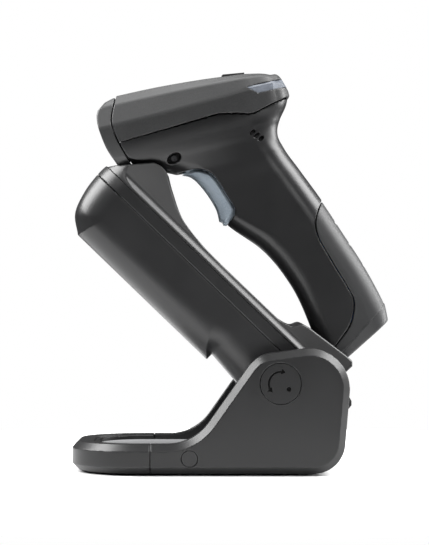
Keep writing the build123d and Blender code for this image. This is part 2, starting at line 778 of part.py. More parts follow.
def side_shell():
    """Outer shell of the right ear and foot, hollow, open on its inner side."""
    inner = EAR_INNER + EAR_COVER
    with BuildPart() as shell:
        add(ear_plate(0, inner, BASE_HALF_WIDTH))
        outer_face = shell.faces().sort_by(Axis.Y)[-1]
        rim = [edge for edge in outer_face.edges() if edge.center().X > RING_SEAM_X + 0.5]
        chamfer(rim, length=EDGE_CHAMFER)
        add(ear_plate(3.0, inner - 1, BASE_HALF_WIDTH - 2.8), mode=Mode.SUBTRACT)
        add(cross_disc(PIVOT_X, PIVOT_Z, CAP_R + 0.1, BASE_HALF_WIDTH - 1.1, 60), mode=Mode.SUBTRACT)
        add(cross_disc(LATCH_X, LATCH_Z, LATCH_R + 0.15, 44, 60), mode=Mode.SUBTRACT)
        add(block((RING_SEAM_X - 1, 40.2, 5.2), (RING_SEAM_X + 5, 45.8, 12.8)), mode=Mode.SUBTRACT)
    return shell.part


def ear_cover():
    """Inner cover that closes the right ear, with the hole for its bush."""
    with BuildPart() as cover:
        add(ear_plate(0.8, EAR_INNER, EAR_INNER + EAR_COVER))
        add(cross_disc(PIVOT_X, PIVOT_Z, BUSH_R + FIT, 30, 40), mode=Mode.SUBTRACT)
    return cover.part


def pivot_bushes():
    """Two bushes that the pivot shafts turn in."""
    return both_sides(cross_disc(PIVOT_X, PIVOT_Z, BUSH_R, EAR_INNER, 46, hole=SHAFT_R + FIT))


def pivot_cap():
    """Round cap let into the right ear's face over the pivot."""
    return cross_disc(PIVOT_X, PIVOT_Z, CAP_R, BASE_HALF_WIDTH - 1.1, BASE_HALF_WIDTH)


def foot_plan(grow, back, low, high):
    """Plan of the foot's rounded front, grown or shrunk, carried back to a given X."""
    half, front, corner = BASE_HALF_WIDTH + grow, BASE_FRONT - grow, RING_CORNER_R + grow
    with BuildPart() as plan:
        with BuildSketch(Plane.XY.offset(low)):
            with BuildLine():
                FilletPolyline((back, -half), (front, -half), (front, half), (back, half),
                               radius=corner)
                Line((back, -half), (back, half))
            make_face()
        extrude(amount=high - low)
    return plan.part


def front_ring():
    """Rounded front of the foot's rim, with two tongues that slide into the side shells."""
    width = BASE_HALF_WIDTH - EAR_INNER
    with BuildPart() as ring:
        add(foot_plan(0, RING_SEAM_X - SEAM, FOOT_HEIGHT, RIM_Z))
        level = ring.edges().filter_by(lambda e: abs(e.tangent_at(0.5).Z) < 0.1)
        chamfer([e for e in level if e.center().X < RING_SEAM_X - 1], length=EDGE_CHAMFER)
        add(foot_plan(-width, 0, 0, 20), mode=Mode.SUBTRACT)
        add(foot_groove(), mode=Mode.SUBTRACT)
        add(both_sides(block((RING_SEAM_X - 6, 40.5, 5.5), (RING_SEAM_X + 14, 45.5, 12.5))))
    return ring.part


def foot_groove():
    """Hollow in the underside of the front ring."""
    with BuildPart() as groove:
        add(foot_plan(-5.2, RING_SEAM_X - 5, 0, 13.4))
        add(foot_plan(-11.4, 0, 0, 20), mode=Mode.SUBTRACT)
    return groove.part


TRAY_SCREWS = [(-46, -14), (-46, 14), (8, -30), (8, 30)]


def tray_panel():
    """Flat tray inside the rim, on four bosses."""
    width = BASE_HALF_WIDTH - EAR_INNER
    with BuildPart() as tray:
        add(foot_plan(-width - 0.4, 43.8, TRAY_Z - 2, TRAY_Z))
        with Locations(*[(x, y, 7.9) for x, y in TRAY_SCREWS]):
            Cylinder(3.2, 8.6)
        with Locations(*[(x, y, 6.4) for x, y in TRAY_SCREWS]):
            Cylinder(1.3, 8, mode=Mode.SUBTRACT)
    return tray.part


BOLTS = [(x, y) for x in (-BOLT_SPACING_X / 2, BOLT_SPACING_X / 2)
         for y in (-BOLT_SPACING_Y / 2, BOLT_SPACING_Y / 2)]


def base_plate():
    """Bottom plate with four bosses for fixing the base down."""
    width = BASE_HALF_WIDTH - EAR_INNER
    with BuildPart() as plate:
        add(foot_plan(-width - 0.6, 57.5, FOOT_HEIGHT, 3.6))
        with Locations(*[(x, y, 7.3) for x, y in BOLTS]):
            Cylinder(4.5, 8.6)
        with Locations(*[(x, y, 6.0) for x, y in BOLTS]):
            Cylinder(BOLT_R, 16, mode=Mode.SUBTRACT)
        with Locations(*[(x, y, FOOT_HEIGHT) for x, y in TRAY_SCREWS]):
            Cylinder(2.7, 2.8, mode=Mode.SUBTRACT)
        with Locations(*[(x, y, 3.0) for x, y in TRAY_SCREWS]):
            Cylinder(1.3, 4, mode=Mode.SUBTRACT)
    return plate.part


def base_screws():
    """Four screws that hold tray and base plate together."""
    with BuildPart() as screws:
        with Locations(*[(x, y, 1.9) for x, y in TRAY_SCREWS]):
            Cylinder(2.6, 1.2)
        with Locations(*[(x, y, 6.0) for x, y in TRAY_SCREWS]):
            Cylinder(1.25, 7.5)
    return screws.part


def rubber_feet():
    """Round pads under the base plate: one near each corner and one in the middle."""
    spots = [(-50, -25), (-50, 25), (50, -27), (50, 27), (0, 0)]
    with BuildPart() as feet:
        with Locations(*[(x, y, FOOT_HEIGHT / 2) for x, y in spots]):
            Cylinder(7, FOOT_HEIGHT)
    return feet.part


def ballast_plate():
    """Steel plate that steadies the base."""
    return block((-22, -14, 3.6), (42, 14, 9.6))


def rear_bridge():
    """Hollow cross piece that joins the ears at the back and holds socket and release button."""
    side = EAR_INNER - 0.2
    with BuildPart() as bridge:
        add(slab([(44.2, 3.7), (44.2, 19), (49.5, 25), (59, 38), (65.5, 45), (72.6, 45), (70.0, 15),
                  (68.9, 12), (66.7, 8), (63.8, 5), (61.9, 3.7)], -side, side))
        add(slab([(46.4, 2), (46.4, 18.2), (51.3, 24), (60.9, 37), (66.6, 42.8), (70.2, 42.8),
                  (67.7, 15), (66.6, 12.4), (64.8, 9.2), (62.2, 6.6), (58.9, 4.4), (58.9, 2)],
                 -side + 2.2, side - 2.2), mode=Mode.SUBTRACT)
        add(block((60, -7.2, 7.8), (75, 7.2, 20.2)), mode=Mode.SUBTRACT)
        add(block((66, -9.2, 33.4), (80, 9.2, 40.8)), mode=Mode.SUBTRACT)
    return bridge.part


def tilt_release_button():
    """Push bar at the back with a rounded nose and a stop flange inside the bridge."""
    with BuildPart() as button:
        add(slab([(69.0, 33.6), (74.2, 33.6), (76.2, 36.0), (76.2, 38.4), (75.0, 40.6), (69.0, 40.6)],
                 -9, 9))
        add(block((67.6, -11, 32.8), (69.0, 11, 38.6)))
        with Locations((71.0, 0, 37.1)):
            Cylinder(3.0, 8, rotation=(0, 90, 0), mode=Mode.SUBTRACT)
    return button.part


def host_socket():
    """Rectangular cable socket in the back of the bridge, open to the rear."""
    with BuildPart() as socket:
        add(slab([(56, 8), (66.6, 8), (67.9, 10), (68.8, 12), (69.2, 14), (69.2, 20), (56, 20)],
                 -7, 7))
        add(block((58, -5.8, 10), (75, 5.8, 17.8)), mode=Mode.SUBTRACT)
    return socket.part


def connector_board():
    """Small board under the host socket."""
    return block((47.5, -14, 5.2), (59.5, 14, 6.8))


def latch_button():
    """Round push button in the right side of the foot that frees the front ring."""
    with BuildPart() as button:
        add(cross_disc(LATCH_X, LATCH_Z, LATCH_R, 47.0, BASE_HALF_WIDTH))
        add(cross_disc(LATCH_X, LATCH_Z, 2.0, 41.0, 47.0))
    return button.part


def mirrored(part):
    """The left-hand version of a right-hand piece."""
    return part.mirror(Plane.XZ)


def main():
    os.makedirs("parts", exist_ok=True)
    scanner_pieces = {
        "head_top_shell": head_top_shell(),
        "status_light_guide": status_light_guide(),
        "nose_bezel": nose_bezel(),
        "scan_window": scan_window(),
        "scan_engine": scan_engine(),
        "imager_lens": engine_lens(0, -14, 5.0),
        "illumination_lenses": both_sides(engine_lens(11, -14, 3.6)),
        "aimer_lens": engine_lens(0, -22.4, 1.8),
        "inner_frame": inner_frame(),
        "main_board": main_board(),
        "beeper": beeper(),
        "top_button": top_button(),
        "button_switch": button_switch(),
        "grip_housing": grip_housing(),
        "housing_screws": housing_screws(),
        "trigger": trigger(),
        "trigger_pin": trigger_pin(),
        "trigger_spring": trigger_spring(),
        "trigger_switch": trigger_switch(),
        "battery_pack": battery_pack(),
        "battery_contacts": battery_contacts(),
        "battery_door": battery_door(),
        "charge_contacts": charge_pads(2.2),
    }
    cradle_pieces = {
        "cradle_back_shell": cradle_back_shell(),
        "cradle_band": cradle_band(),
        "cradle_top_cover": cradle_top_cover(),
        "cradle_light_bar": cradle_light_bar(),
        "cradle_board": cradle_board(),
        "charge_pins": docked(charge_pin_pair()),
        "cradle_screws": cradle_screws(),
        "pivot_shafts": pivot_shafts(),
        "detent_disc": detent_disc(),
    }
    base_pieces = {
        "side_shell_right": side_shell(),
        "side_shell_left": mirrored(side_shell()),
        "ear_cover_right": ear_cover(),
        "ear_cover_left": mirrored(ear_cover()),
        "pivot_bushes": pivot_bushes(),
        "pivot_cap_right": pivot_cap(),
        "pivot_cap_left": mirrored(pivot_cap()),
        "front_ring": front_ring(),
        "tray_panel": tray_panel(),
        "base_plate": base_plate(),
        "base_screws": base_screws(),
        "rubber_feet": rubber_feet(),
        "ballast_plate": ballast_plate(),
        "rear_bridge": rear_bridge(),
        "tilt_release_button": tilt_release_button(),
        "release_spring": coil(68.4, 0, 37.1, 2.6, 0.8, 1.25, 7, axis="X"),
        "host_socket": host_socket(),
        "connector_board": connector_board(),
        "latch_button_right": latch_button(),
        "latch_button_left": mirrored(latch_button()),
        "latch_springs": both_sides(coil(LATCH_X, 41.9, LATCH_Z, 3.4, 0.7, 1.2, 6)),
    }
    for pieces, place in [(scanner_pieces, SCANNER), (cradle_pieces, CRADLE), (base_pieces, BASE)]:
        for name, part in pieces.items():
            save(name, part, place)


if __name__ == "__main__":
    main()
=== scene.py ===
"""Looks of a pistol-grip barcode scanner in its tilting charging cradle, round the CAD frame.

Metres, +Z up, -X to the front, -Y the object's left side, which the camera sees.
The moulded casings are modelled here as signed distance fields, in millimetres and in the
frame of their own assembly (scanner, cradle or base), and turned into smooth closed meshes.
Everything inside stays the CAD node with a better material.
"""

import json
import math

import bpy
import numpy as np
from mathutils import Matrix, Vector


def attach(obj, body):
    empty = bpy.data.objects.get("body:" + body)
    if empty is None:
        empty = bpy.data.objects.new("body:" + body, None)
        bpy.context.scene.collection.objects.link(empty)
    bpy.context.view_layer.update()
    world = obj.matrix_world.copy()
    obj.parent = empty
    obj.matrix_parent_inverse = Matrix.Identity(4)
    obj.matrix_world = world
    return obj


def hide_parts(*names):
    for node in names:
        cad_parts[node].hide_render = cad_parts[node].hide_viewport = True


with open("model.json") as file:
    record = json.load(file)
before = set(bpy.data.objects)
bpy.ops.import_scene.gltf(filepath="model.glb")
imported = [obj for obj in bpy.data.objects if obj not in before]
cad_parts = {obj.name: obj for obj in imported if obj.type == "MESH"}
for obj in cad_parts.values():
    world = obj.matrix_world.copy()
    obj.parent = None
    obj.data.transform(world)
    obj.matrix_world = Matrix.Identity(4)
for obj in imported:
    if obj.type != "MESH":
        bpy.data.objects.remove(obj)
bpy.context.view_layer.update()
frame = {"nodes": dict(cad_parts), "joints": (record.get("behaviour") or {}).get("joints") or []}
NODES = frame["nodes"]
JOINTS = {joint["name"]: joint for joint in frame["joints"]}

FINE = 0.62                      # grid step of the casings' meshes, mm
STEP = FINE * 1.0
WALL = 2.2                       # casing wall, mm
BEZEL_GAP, EDGE_GAP, DOOR_GAP = 0.60, 0.20, 0.50   # open seams between the scanner's casings, mm


# ---------------------------------------------------------------- frames of the assemblies
def assembly_frame(up, anchor, local):
    """Matrix from an assembly's own millimetres to the shared frame's metres.

    up is the assembly's local Z, and anchor is where its local point (x, z) stands.
    """
    up = Vector(up).normalized()
    along = Vector((up.z, 0, -up.x))
    turn = Matrix((along, Vector((0, 1, 0)), up)).transposed()
    offset = Vector(anchor) - turn @ Vector((local[0], 0, local[1])) * 0.001
    return Matrix.Translation(offset) @ turn.to_4x4() @ Matrix.Scale(0.001, 4)


TRIGGER_PIVOT = (40.5, -39.5)
SCANNER = assembly_frame([-c for c in JOINTS["top_button_press"]["axis"]],
                         JOINTS["trigger_pull"]["pos_m"], TRIGGER_PIVOT)
CRADLE = assembly_frame(JOINTS["scanner_lift"]["axis"], JOINTS["cradle_tilt"]["pos_m"], (0, 0))
BASE = Matrix.Scale(0.001, 4)
PIVOT = (JOINTS["cradle_tilt"]["pos_m"][0] * 1000, JOINTS["cradle_tilt"]["pos_m"][2] * 1000)


# ---------------------------------------------------------------- distance fields
def rmax(a, b, r):
    """Intersection of two fields with a round edge of radius r."""
    inside = np.minimum(np.maximum(a, b), -r)
    return inside + np.hypot(np.maximum(a + r, 0), np.maximum(b + r, 0))


def cmax(a, b, c):
    """Intersection of two fields with a chamfered edge, cut back by c on both."""
    return np.maximum(np.maximum(a, b), (a + b + c) * math.sqrt(0.5))


def smooth_min(a, b, k):
    """Union of two fields that flow into each other over a width k."""
    h = np.maximum(k - np.abs(a - b), 0) / k
    return np.minimum(a, b) - h * h * k * 0.25


def spline(points, count=12):
    """Points along an open Catmull-Rom curve, count of them between two given points."""
    pts = np.array(points, float)
    run = np.vstack([2 * pts[0] - pts[1], pts, 2 * pts[-1] - pts[-2]])
    out = []
    for p0, p1, p2, p3 in zip(run, run[1:], run[2:], run[3:]):
        for t in np.linspace(0, 1, count, endpoint=False):
            out.append(0.5 * (2 * p1 + (p2 - p0) * t + (2 * p0 - 5 * p1 + 4 * p2 - p3) * t * t
                              + (3 * p1 - p0 - 3 * p2 + p3) * t ** 3))
    out.append(pts[-1])
    return [tuple(p) for p in out]


def rounded(corners):
    """A closed outline from (x, z, radius) corners, with each corner turned into an arc."""
    out = []
    total = len(corners)
    for k, (x, z, r) in enumerate(corners):
        here = np.array((x, z), float)
        before = np.array(corners[k - 1][:2], float) - here
        after = np.array(corners[(k + 1) % total][:2], float) - here
        before /= np.linalg.norm(before)
        after /= np.linalg.norm(after)
        half = math.acos(np.clip(before @ after, -1, 1)) / 2
        if r <= 0:
            out.append((x, z))
            continue
        bisector = (before + after) / np.linalg.norm(before + after)
        centre = here + bisector * r / math.sin(half)
        start = here + before * r / math.tan(half) - centre
        sweep = math.pi - 2 * half
        if before[0] * after[1] - before[1] * after[0] > 0:
            sweep = -sweep
        for t in np.linspace(0, sweep, 48):
            c, s = math.cos(t), math.sin(t)
            out.append((centre[0] + c * start[0] - s * start[1],
                        centre[1] + s * start[0] + c * start[1]))
    return out


def outline(points, u, v):
    """Signed distance from the grid of u (rows) and v (columns) to a closed outline."""
    p = np.array(points, float)
    q = np.roll(p, -1, axis=0)
    shape = np.broadcast(u, v).shape
    best = np.full(shape, 1e9)
    inside = np.zeros(shape, bool)
    for (ax, ay), (bx, by) in zip(p, q):
        dx, dy = bx - ax, by - ay
        length2 = dx * dx + dy * dy
        if length2 < 1e-12:
            continue
        t = np.clip(((u - ax) * dx + (v - ay) * dy) / length2, 0, 1)
        best = np.minimum(best, (u - ax - t * dx) ** 2 + (v - ay - t * dy) ** 2)
        crosses = (ay > v) != (by > v)
        if dy != 0:
            inside ^= crosses & (u < ax + (v - ay) * dx / dy)
    return np.where(inside, -1, 1) * np.sqrt(best)


def at(x, table, column):
    """A station table's column at positions x, smoothly between its rows."""
    xs = np.array([row[0] for row in table], float)
    ys = np.array([row[column] for row in table], float)
    slopes = np.gradient(ys, xs)
    x = np.clip(x, xs[0], xs[-1])
    k = np.clip(np.searchsorted(xs, x) - 1, 0, len(xs) - 2)
    h = xs[k + 1] - xs[k]
    t = (x - xs[k]) / h
    return ((2 * t ** 3 - 3 * t ** 2 + 1) * ys[k] + (t ** 3 - 2 * t ** 2 + t) * h * slopes[k]
            + (3 * t ** 2 - 2 * t ** 3) * ys[k + 1] + (t ** 3 - t ** 2) * h * slopes[k + 1])


# ---------------------------------------------------------------- field to mesh
def surface_net(field, low, high, step):
    """Points and quads of the closed mesh round a field's negative side, inside a box."""
    axes = [np.arange(a - 2 * step, b + 3 * step, step) for a, b in zip(low, high)]
    grid = field(axes[0][:, None, None], axes[1][None, :, None], axes[2][None, None, :])
    grid = np.broadcast_to(grid, [len(a) for a in axes]).astype(np.float32)
    solid = grid < 0
    corners = [(i, j, k) for i in (0, 1) for j in (0, 1) for k in (0, 1)]
    size = np.array(grid.shape) - 1

    def part(array, i, j, k):
        return array[i:i + size[0], j:j + size[1], k:k + size[2]]

    count = sum(part(solid, *c).astype(np.int8) for c in corners)
    cell = np.argwhere((count > 0) & (count < 8))
    index = -np.ones(size, np.int64)
    index[tuple(cell.T)] = np.arange(len(cell))
    total = np.zeros((len(cell), 3))
    hits = np.zeros(len(cell))
    for a in corners:
        for axis in range(3):
            if a[axis]:
                continue
            b = tuple(c + (n == axis) for n, c in enumerate(a))
            fa = grid[tuple((cell + a).T)]
            fb = grid[tuple((cell + b).T)]
            crossing = (fa < 0) != (fb < 0)
            t = np.where(crossing, fa / np.where(crossing, fa - fb, 1), 0)
            point = np.array(a, float)[None] + t[:, None] * (np.array(b) - np.array(a))[None]
            total += np.where(crossing[:, None], point, 0)
            hits += crossing
    origin = np.array([a[0] for a in axes])
    points = origin + (cell + total / hits[:, None]) * step
    quads = []
    for axis in range(3):
        u, v = [n for n in range(3) if n != axis]
        if axis == 1:
            u, v = v, u
        a = [slice(1, -1)] * 3
        b = [slice(1, -1)] * 3
        a[axis], b[axis] = slice(0, -1), slice(1, None)
        edge = np.argwhere(solid[tuple(a)] != solid[tuple(b)])
        edge[:, u] += 1
        edge[:, v] += 1
        forward = solid[tuple(edge.T)]
        ring = []
        for du, dv in ((0, 0), (-1, 0), (-1, -1), (0, -1)):
            near = edge.copy()
            near[:, u] += du
            near[:, v] += dv
            ring.append(index[tuple(near.T)])
        ring = np.stack(ring, 1)
        quads.append(np.where(forward[:, None], ring, ring[:, ::-1]))
    return points, np.vstack(quads)


def settle(field, points, step):
    """Moves the points onto the field's zero surface and returns them with their normals."""
    e = step * 0.12

    def value(p):
        return np.array(field(p[:, 0:1, None], p[:, 1:2, None], p[:, 2:3, None])).reshape(-1)

    def rise(p):
        return np.stack([value(p + e * d) - value(p - e * d) for d in np.eye(3)], 1)

    start = points.copy()
    for _ in range(3):
        here = value(points)
        slope = rise(points) / (2 * e)
        size = np.maximum((slope ** 2).sum(1), 0.05)
        points = points - np.clip(here / size, -0.4 * step, 0.4 * step)[:, None] * slope
        drift = points - start
        far = np.linalg.norm(drift, axis=1)
        points = start + drift * np.minimum(1, step * 0.9 / np.maximum(far, 1e-9))[:, None]
    slope = rise(points)
    return points, slope / np.maximum(np.linalg.norm(slope, axis=1), 1e-9)[:, None]


def casing(name, field, low, high, place, body, replaced, material, step=None):
    """A moulded piece: the field's surface as a mesh that stands for CAD nodes.

    low and high bound the piece in its assembly's millimetres, and place is that
    assembly's matrix.
    """
    step = step or STEP
    points, quads = surface_net(field, low, high, step)
    points, normals = settle(field, points, step)
    mesh = bpy.data.meshes.new(name)
    mesh.from_pydata(points.tolist(), [], quads.tolist())
    mesh.transform(place)
    mesh.update()
    mesh.shade_smooth()
    turn = np.array(place.to_3x3()) * 1000
    mesh.normals_split_custom_set_from_vertices((normals @ turn.T).tolist())
    piece = bpy.data.objects.new(name, mesh)
    bpy.context.scene.collection.objects.link(piece)
    mesh.materials.append(material)
    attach(piece, body)
    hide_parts(*replaced)
    return piece


class Profile:
    """Signed distance to a closed outline, looked up in a table on a fine grid.

    The grid reaches margin mm past the outline; further out, the value at its rim holds.
    """

    def __init__(self, points, cell=0.3, margin=9.0):
        pts = np.array(points, float)
        self.low = pts.min(0) - margin
        self.cell = cell
        count = np.ceil((pts.max(0) + margin - self.low) / cell).astype(int) + 1
        u, v = (self.low[n] + np.arange(count[n]) * cell for n in (0, 1))
        self.table = outline(points, u[:, None], v[None, :])

    def __call__(self, u, v):
        rows, columns = self.table.shape
        a, b = np.broadcast_arrays(np.clip((u - self.low[0]) / self.cell, 0, rows - 1.001),
                                   np.clip((v - self.low[1]) / self.cell, 0, columns - 1.001))
        i, j = a.astype(int), b.astype(int)
        s, t = a - i, b - j
        table = self.table
        return ((table[i, j] * (1 - s) + table[i + 1, j] * s) * (1 - t)
                + (table[i, j + 1] * (1 - s) + table[i + 1, j + 1] * s) * t)


def edge(u, v, start, end):
    """Signed distance to the line from start to end, positive on its left."""
    du, dv = end[0] - start[0], end[1] - start[1]
    return ((v - start[1]) * du - (u - start[0]) * dv) / np.hypot(du, dv)


def box(x, y, z, low, high):
    """Field of a box with sharp edges, between two opposite corners."""
    return np.maximum(np.maximum(np.maximum(low[0] - x, x - high[0]),
                                 np.maximum(low[1] - y, y - high[1])),
                      np.maximum(low[2] - z, z - high[2]))


def ellipse(u, v, centre, half, lean):
    """Roughly the distance to an ellipse with half axes (along, across), leaning in degrees."""
    c, s = math.cos(math.radians(lean)), math.sin(math.radians(lean))
    du, dv = u - centre[0], v - centre[1]
    along, across = (du * c + dv * s) / half[0], (dv * c - du * s) / half[1]
    return (np.hypot(along, across) - 1) * min(half)


# ---------------------------------------------------------------- scanner: forms
# Head stations: x, top z, flat's half width, shoulder y and z, waist y and z, floor's half width.
HEAD = [(4, 4.9, 20, 28, -0.3, 33, -11.6, 30.6), (37, 3.9, 20, 28, -1.2, 33, -11.4, 30.6),
        (71, 1.1, 19, 26.6, -2.4, 31.6, -10.2, 29.2), (86, -0.7, 17, 24.4, -3.3, 29.2, -9.5, 27),
        (97, -3.6, 13.5, 20, -5, 24.6, -9.4, 22.8), (103, -7.0, 8.5, 13.5, -8, 17.6, -10.6, 16.8),
        (105.2, -13.5, 5, 8, -14, 10.6, -14.8, 10.4)]
# Grip stations, bottom to top: z, then x, half width and corner radius of front and of back.
GRIP = [(-182, 88, 16.8, 9, 131, 18, 13), (-146, 86, 16.6, 9, 129.4, 17.8, 13),
        (-120, 80.8, 16.6, 10, 123.2, 17.6, 13), (-97, 70, 17, 10, 115.4, 17.4, 13),
        (-78, 54, 17.4, 9, 108.7, 17.2, 13), (-58, 45, 17.8, 9, 100.6, 17.2, 13),
        (-45, 34.5, 19.6, 8, 95.4, 17.4, 13), (-37, 18.2, 24, 6, 93.8, 17.8, 14),
        (-33.4, 11.2, 26.6, 4, 94.6, 18.2, 15), (-29, 7.4, 28.8, 3, 97, 18.8, 15),
        (-22, 6.5, 30.9, 3, 102.4, 20, 17),
        (-14, 6, 31.6, 3, 105.6, 20, 17)]
# Seams, gaps and outlines on the scanner's side are (x, z) points in its own frame.
BEZEL_SEAM = [(10.4, 1.5), (6.2, -9.5), (7.4, -21.2), (11.8, -36.5)]
DOOR_SEAM = [(110.5, -76.5), (103.2, -86.5), (101.4, -96.5), (105.2, -111.5), (110.6, -129.0),
             (111.9, -138.0), (106.8, -149.0), (95.9, -158.8), (91.0, -164.0)]
TRIGGER_GAP = [(44.2, -44.7), (49.2, -46.4), (54.1, -51.6), (60.0, -68.7), (60.4, -72.1),
               (58.7, -75.3), (53.4, -79.4)]
TRIGGER_FACE = [(34.4, -45), (41.3, -48.6), (46.4, -57.4), (50, -68.3), (50.2, -76)]
TRIGGER_BACK = [(58.2, -75), (59.7, -71.8), (59.3, -68.7), (53.5, -52), (48.9, -47.1), (44, -45.2)]
# Front view of the nose: (y, z) corners of one half.
NOSE_HALF = [(0, 4.9), (20, 4.6), (28, -0.3), (33, -11.6), (31.2, -22), (28.4, -30.5),
             (25.5, -33.9), (0, -33.9)]
VENTS = [(80.1, -32.8), (82.0, -35.0), (83.9, -37.2)]
SIDE_SCREW = (34.6, -36.6)
SCREW_FLOOR = 17.0               # how far out from the middle the screw's seat is
DOOR_NOTCHES = [(114.4, -92.0), (119.2, -105.4), (123.9, -118.8), (128.0, -132.4)]
GRIP_FLOOR = [(129.9, -153.4), (87.0, -174.6)]
CAP_RIDGE = [(127.5, -143.7), (99.6, -162.4)]
NOTCH_R = 1.6
HEAD_BACK = 105.2
BUTTON_X = 77.6
TRIGGER_HALF = 14.8

ahead_of_bezel = Profile([(15.3, 14), (13, 8)] + spline(BEZEL_SEAM)
                         + [(13.8, -43), (-12, -43), (-12, 14)])
above_shell_edge = Profile([(-12, -22.1), (64, -18.9)]
                           + spline([(64, -18.9), (73.5, -20.8), (82, -22.9), (93, -20.6)])
                           + [(110, -17), (122, -14.5), (122, 20), (-12, 20)])
behind_door_seam = Profile([(119, -65)] + spline(DOOR_SEAM)
                           + [(84, -188), (142, -188), (142, -65)])
trigger_gap = Profile([(18, -44.2)] + spline(TRIGGER_GAP) + [(44, -86), (18, -86)])
trigger_side = Profile(spline(TRIGGER_FACE) + [(53.7, -77.9)] + spline(TRIGGER_BACK), 0.15)
trigger_front = Profile(spline(TRIGGER_FACE)
                        + [(50.2, -90), (75, -90), (75, -40), (34.4, -40)], 0.15)
nose_side = Profile([(4.6, -38)]
                    + spline([(3.3, -32), (0.1, -23), (-1.4, -12), (-1.1, -5), (0.3, -1.4)])
                    + [(5.1, 2.5), (13.2, 4.8), (24, 14.2), (24, -38)])


def head_form(x, y, z):
    """The faceted upper head."""
    side = np.abs(y)
    columns = (at(x, HEAD, n) for n in range(1, 8))
    top, flat, shoulder_y, shoulder_z, waist_y, waist_z, floor = columns
    d = rmax(z - top, edge(side, z, (flat, top), (shoulder_y, shoulder_z)), 0.8)
    d = rmax(d, edge(side, z, (shoulder_y, shoulder_z), (waist_y, waist_z)), 0.7)
    d = rmax(d, edge(side, z, (waist_y, waist_z), (floor, -26.0)), 1.0)
    return rmax(d, x - HEAD_BACK, 1.0)


def slope_size(z, column):
    """Length of the slope of a grip face that leans along z."""
    return np.hypot(1, at(z + 0.5, GRIP, column) - at(z - 0.5, GRIP, column))


def grip_form(x, y, z):
    """Lower head, neck and grip in one flowing form, cut at the slanted bottom."""
    front, front_half, front_r, back, back_half, back_r = (at(z, GRIP, n) for n in range(1, 7))
    half = front_half + (back_half - front_half) * np.clip((x - front) / (back - front), 0, 1)
    flank = np.abs(y) - half
    d = rmax(flank, (front - x) / slope_size(z, 1), front_r)
    d = rmax(d, (x - back) / slope_size(z, 4), back_r)
    return rmax(d, edge(x, z, *GRIP_FLOOR), 2.5)


def nose_form(x, y, z):
    """The front end of the head."""
    side = np.abs(y)
    d = edge(side, z, *NOSE_HALF[:2])
    for start, end in zip(NOSE_HALF[1:], NOSE_HALF[2:]):
        d = rmax(d, edge(side, z, start, end), 0.9)
    return rmax(d, nose_side(x, z), 0.9)


def hollow(d, wall=WALL):
    """The wall just inside a form."""
    return np.maximum(d, -(d + wall))


def status_light_space(x, z):
    """The slanted band that the status light fills."""
    corners = [(88.0, -13.2), (82.6, -8.6), (120, -7.8), (120, -12.6)]
    return np.maximum(np.maximum(edge(x, z, *corners[:2]), edge(x, z, *corners[1:3])),
                      edge(x, z, corners[3], corners[0]))


# ---------------------------------------------------------------- scanner: casings
def head_top_shell(x, y, z):
    """The head's faceted upper casing, open for the status light and the top button."""
    d = hollow(head_form(x, y, z))
    d = rmax(d, BEZEL_GAP / 2 - ahead_of_bezel(x, z), 0.35)
    d = rmax(d, above_shell_edge(x, z) + EDGE_GAP / 2, 0.3)
    d = np.maximum(d, -status_light_space(x, z))
    button = box(x, y, z, (BUTTON_X - 4.8, -5.8, -8), (BUTTON_X + 4.8, 5.8, 10))
    return np.maximum(d, -button)


def nose_bezel(x, y, z):
    """The frame round the scan window."""
    d = nose_form(x, y, z)
    d = rmax(d, ahead_of_bezel(x, z) + BEZEL_GAP / 2, 0.35)
    window = rmax(np.abs(y) - 25, np.abs(z + 15) - 11.5, 4)
    d = rmax(d, -window, 0.6)
    return np.maximum(d, -np.maximum(nose_form(x, y, z) + WALL, 5.4 - x))


def grip_housing(x, y, z):
    """Lower head, neck and grip casing, open for the trigger and behind the battery door."""
    form = grip_form(x, y, z)
    d = hollow(form)
    d = rmax(d, BEZEL_GAP / 2 - ahead_of_bezel(x, z), 0.35)
    d = rmax(d, EDGE_GAP / 2 - above_shell_edge(x, z), 0.2)
    d = rmax(d, DOOR_GAP / 2 - behind_door_seam(x, z), 0.4)
    # a lip behind the bezel's seam keeps the seam dark
    lip = np.maximum(hollow(form + 1.2, 1.3), np.abs(ahead_of_bezel(x, z)) - 1.6)
    d = np.minimum(d, np.maximum(lip, 0.3 - above_shell_edge(x, z)))
    d = rmax(d, -trigger_gap(x, z), 0.5)
    side = np.abs(y)
    inner = np.maximum(np.maximum(trigger_gap(x - 6, z), side - 15.3), -77 - z)
    d = np.maximum(d, -inner)
    d = np.maximum(d, -box(x, y, z, (35, -7.2, -52), (52, 7.2, -36)))
    d = np.maximum(d, -box(x, y, z, (0, -25.5, -30.6), (16, 25.5, -10)))
    for vent in VENTS:
        backing = np.maximum(ellipse(x, z, vent, (3.6, 2.8), 32), hollow(form + 0.4, 3.4))
        d = np.minimum(d, backing)
    for vent in VENTS:
        d = rmax(d, -np.maximum(ellipse(x, z, vent, (1.9, 1.0), 32), -(form + 2.6)), 0.15)
    boss = np.maximum(ellipse(x, z, SIDE_SCREW, (5.8, 4.3), 16), SCREW_FLOOR - 2 - side)
    d = np.minimum(d, np.maximum(boss, form + 0.5))
    well = np.maximum(ellipse(x, z, SIDE_SCREW, (4.0, 2.5), 16), SCREW_FLOOR - side)
    return rmax(d, -well, 0.7)


def battery_door(x, y, z):
    """The grip's rear casing, with small notches along its side."""
    # the cap at the foot of the grip draws in a little below its ridge
    below_ridge = np.clip(edge(x, z, *CAP_RIDGE), -0.5, 9.0)
    form = grip_form(x, y, z) + np.where(below_ridge > 0, below_ridge * 0.22, -below_ridge * 0.7)
    d = hollow(form)
    d = rmax(d, behind_door_seam(x, z) + DOOR_GAP / 2, 0.4)
    for cx, cz in DOOR_NOTCHES:
        d = rmax(d, -(np.hypot(x - cx, z - cz) - NOTCH_R), 0.25)
    return d


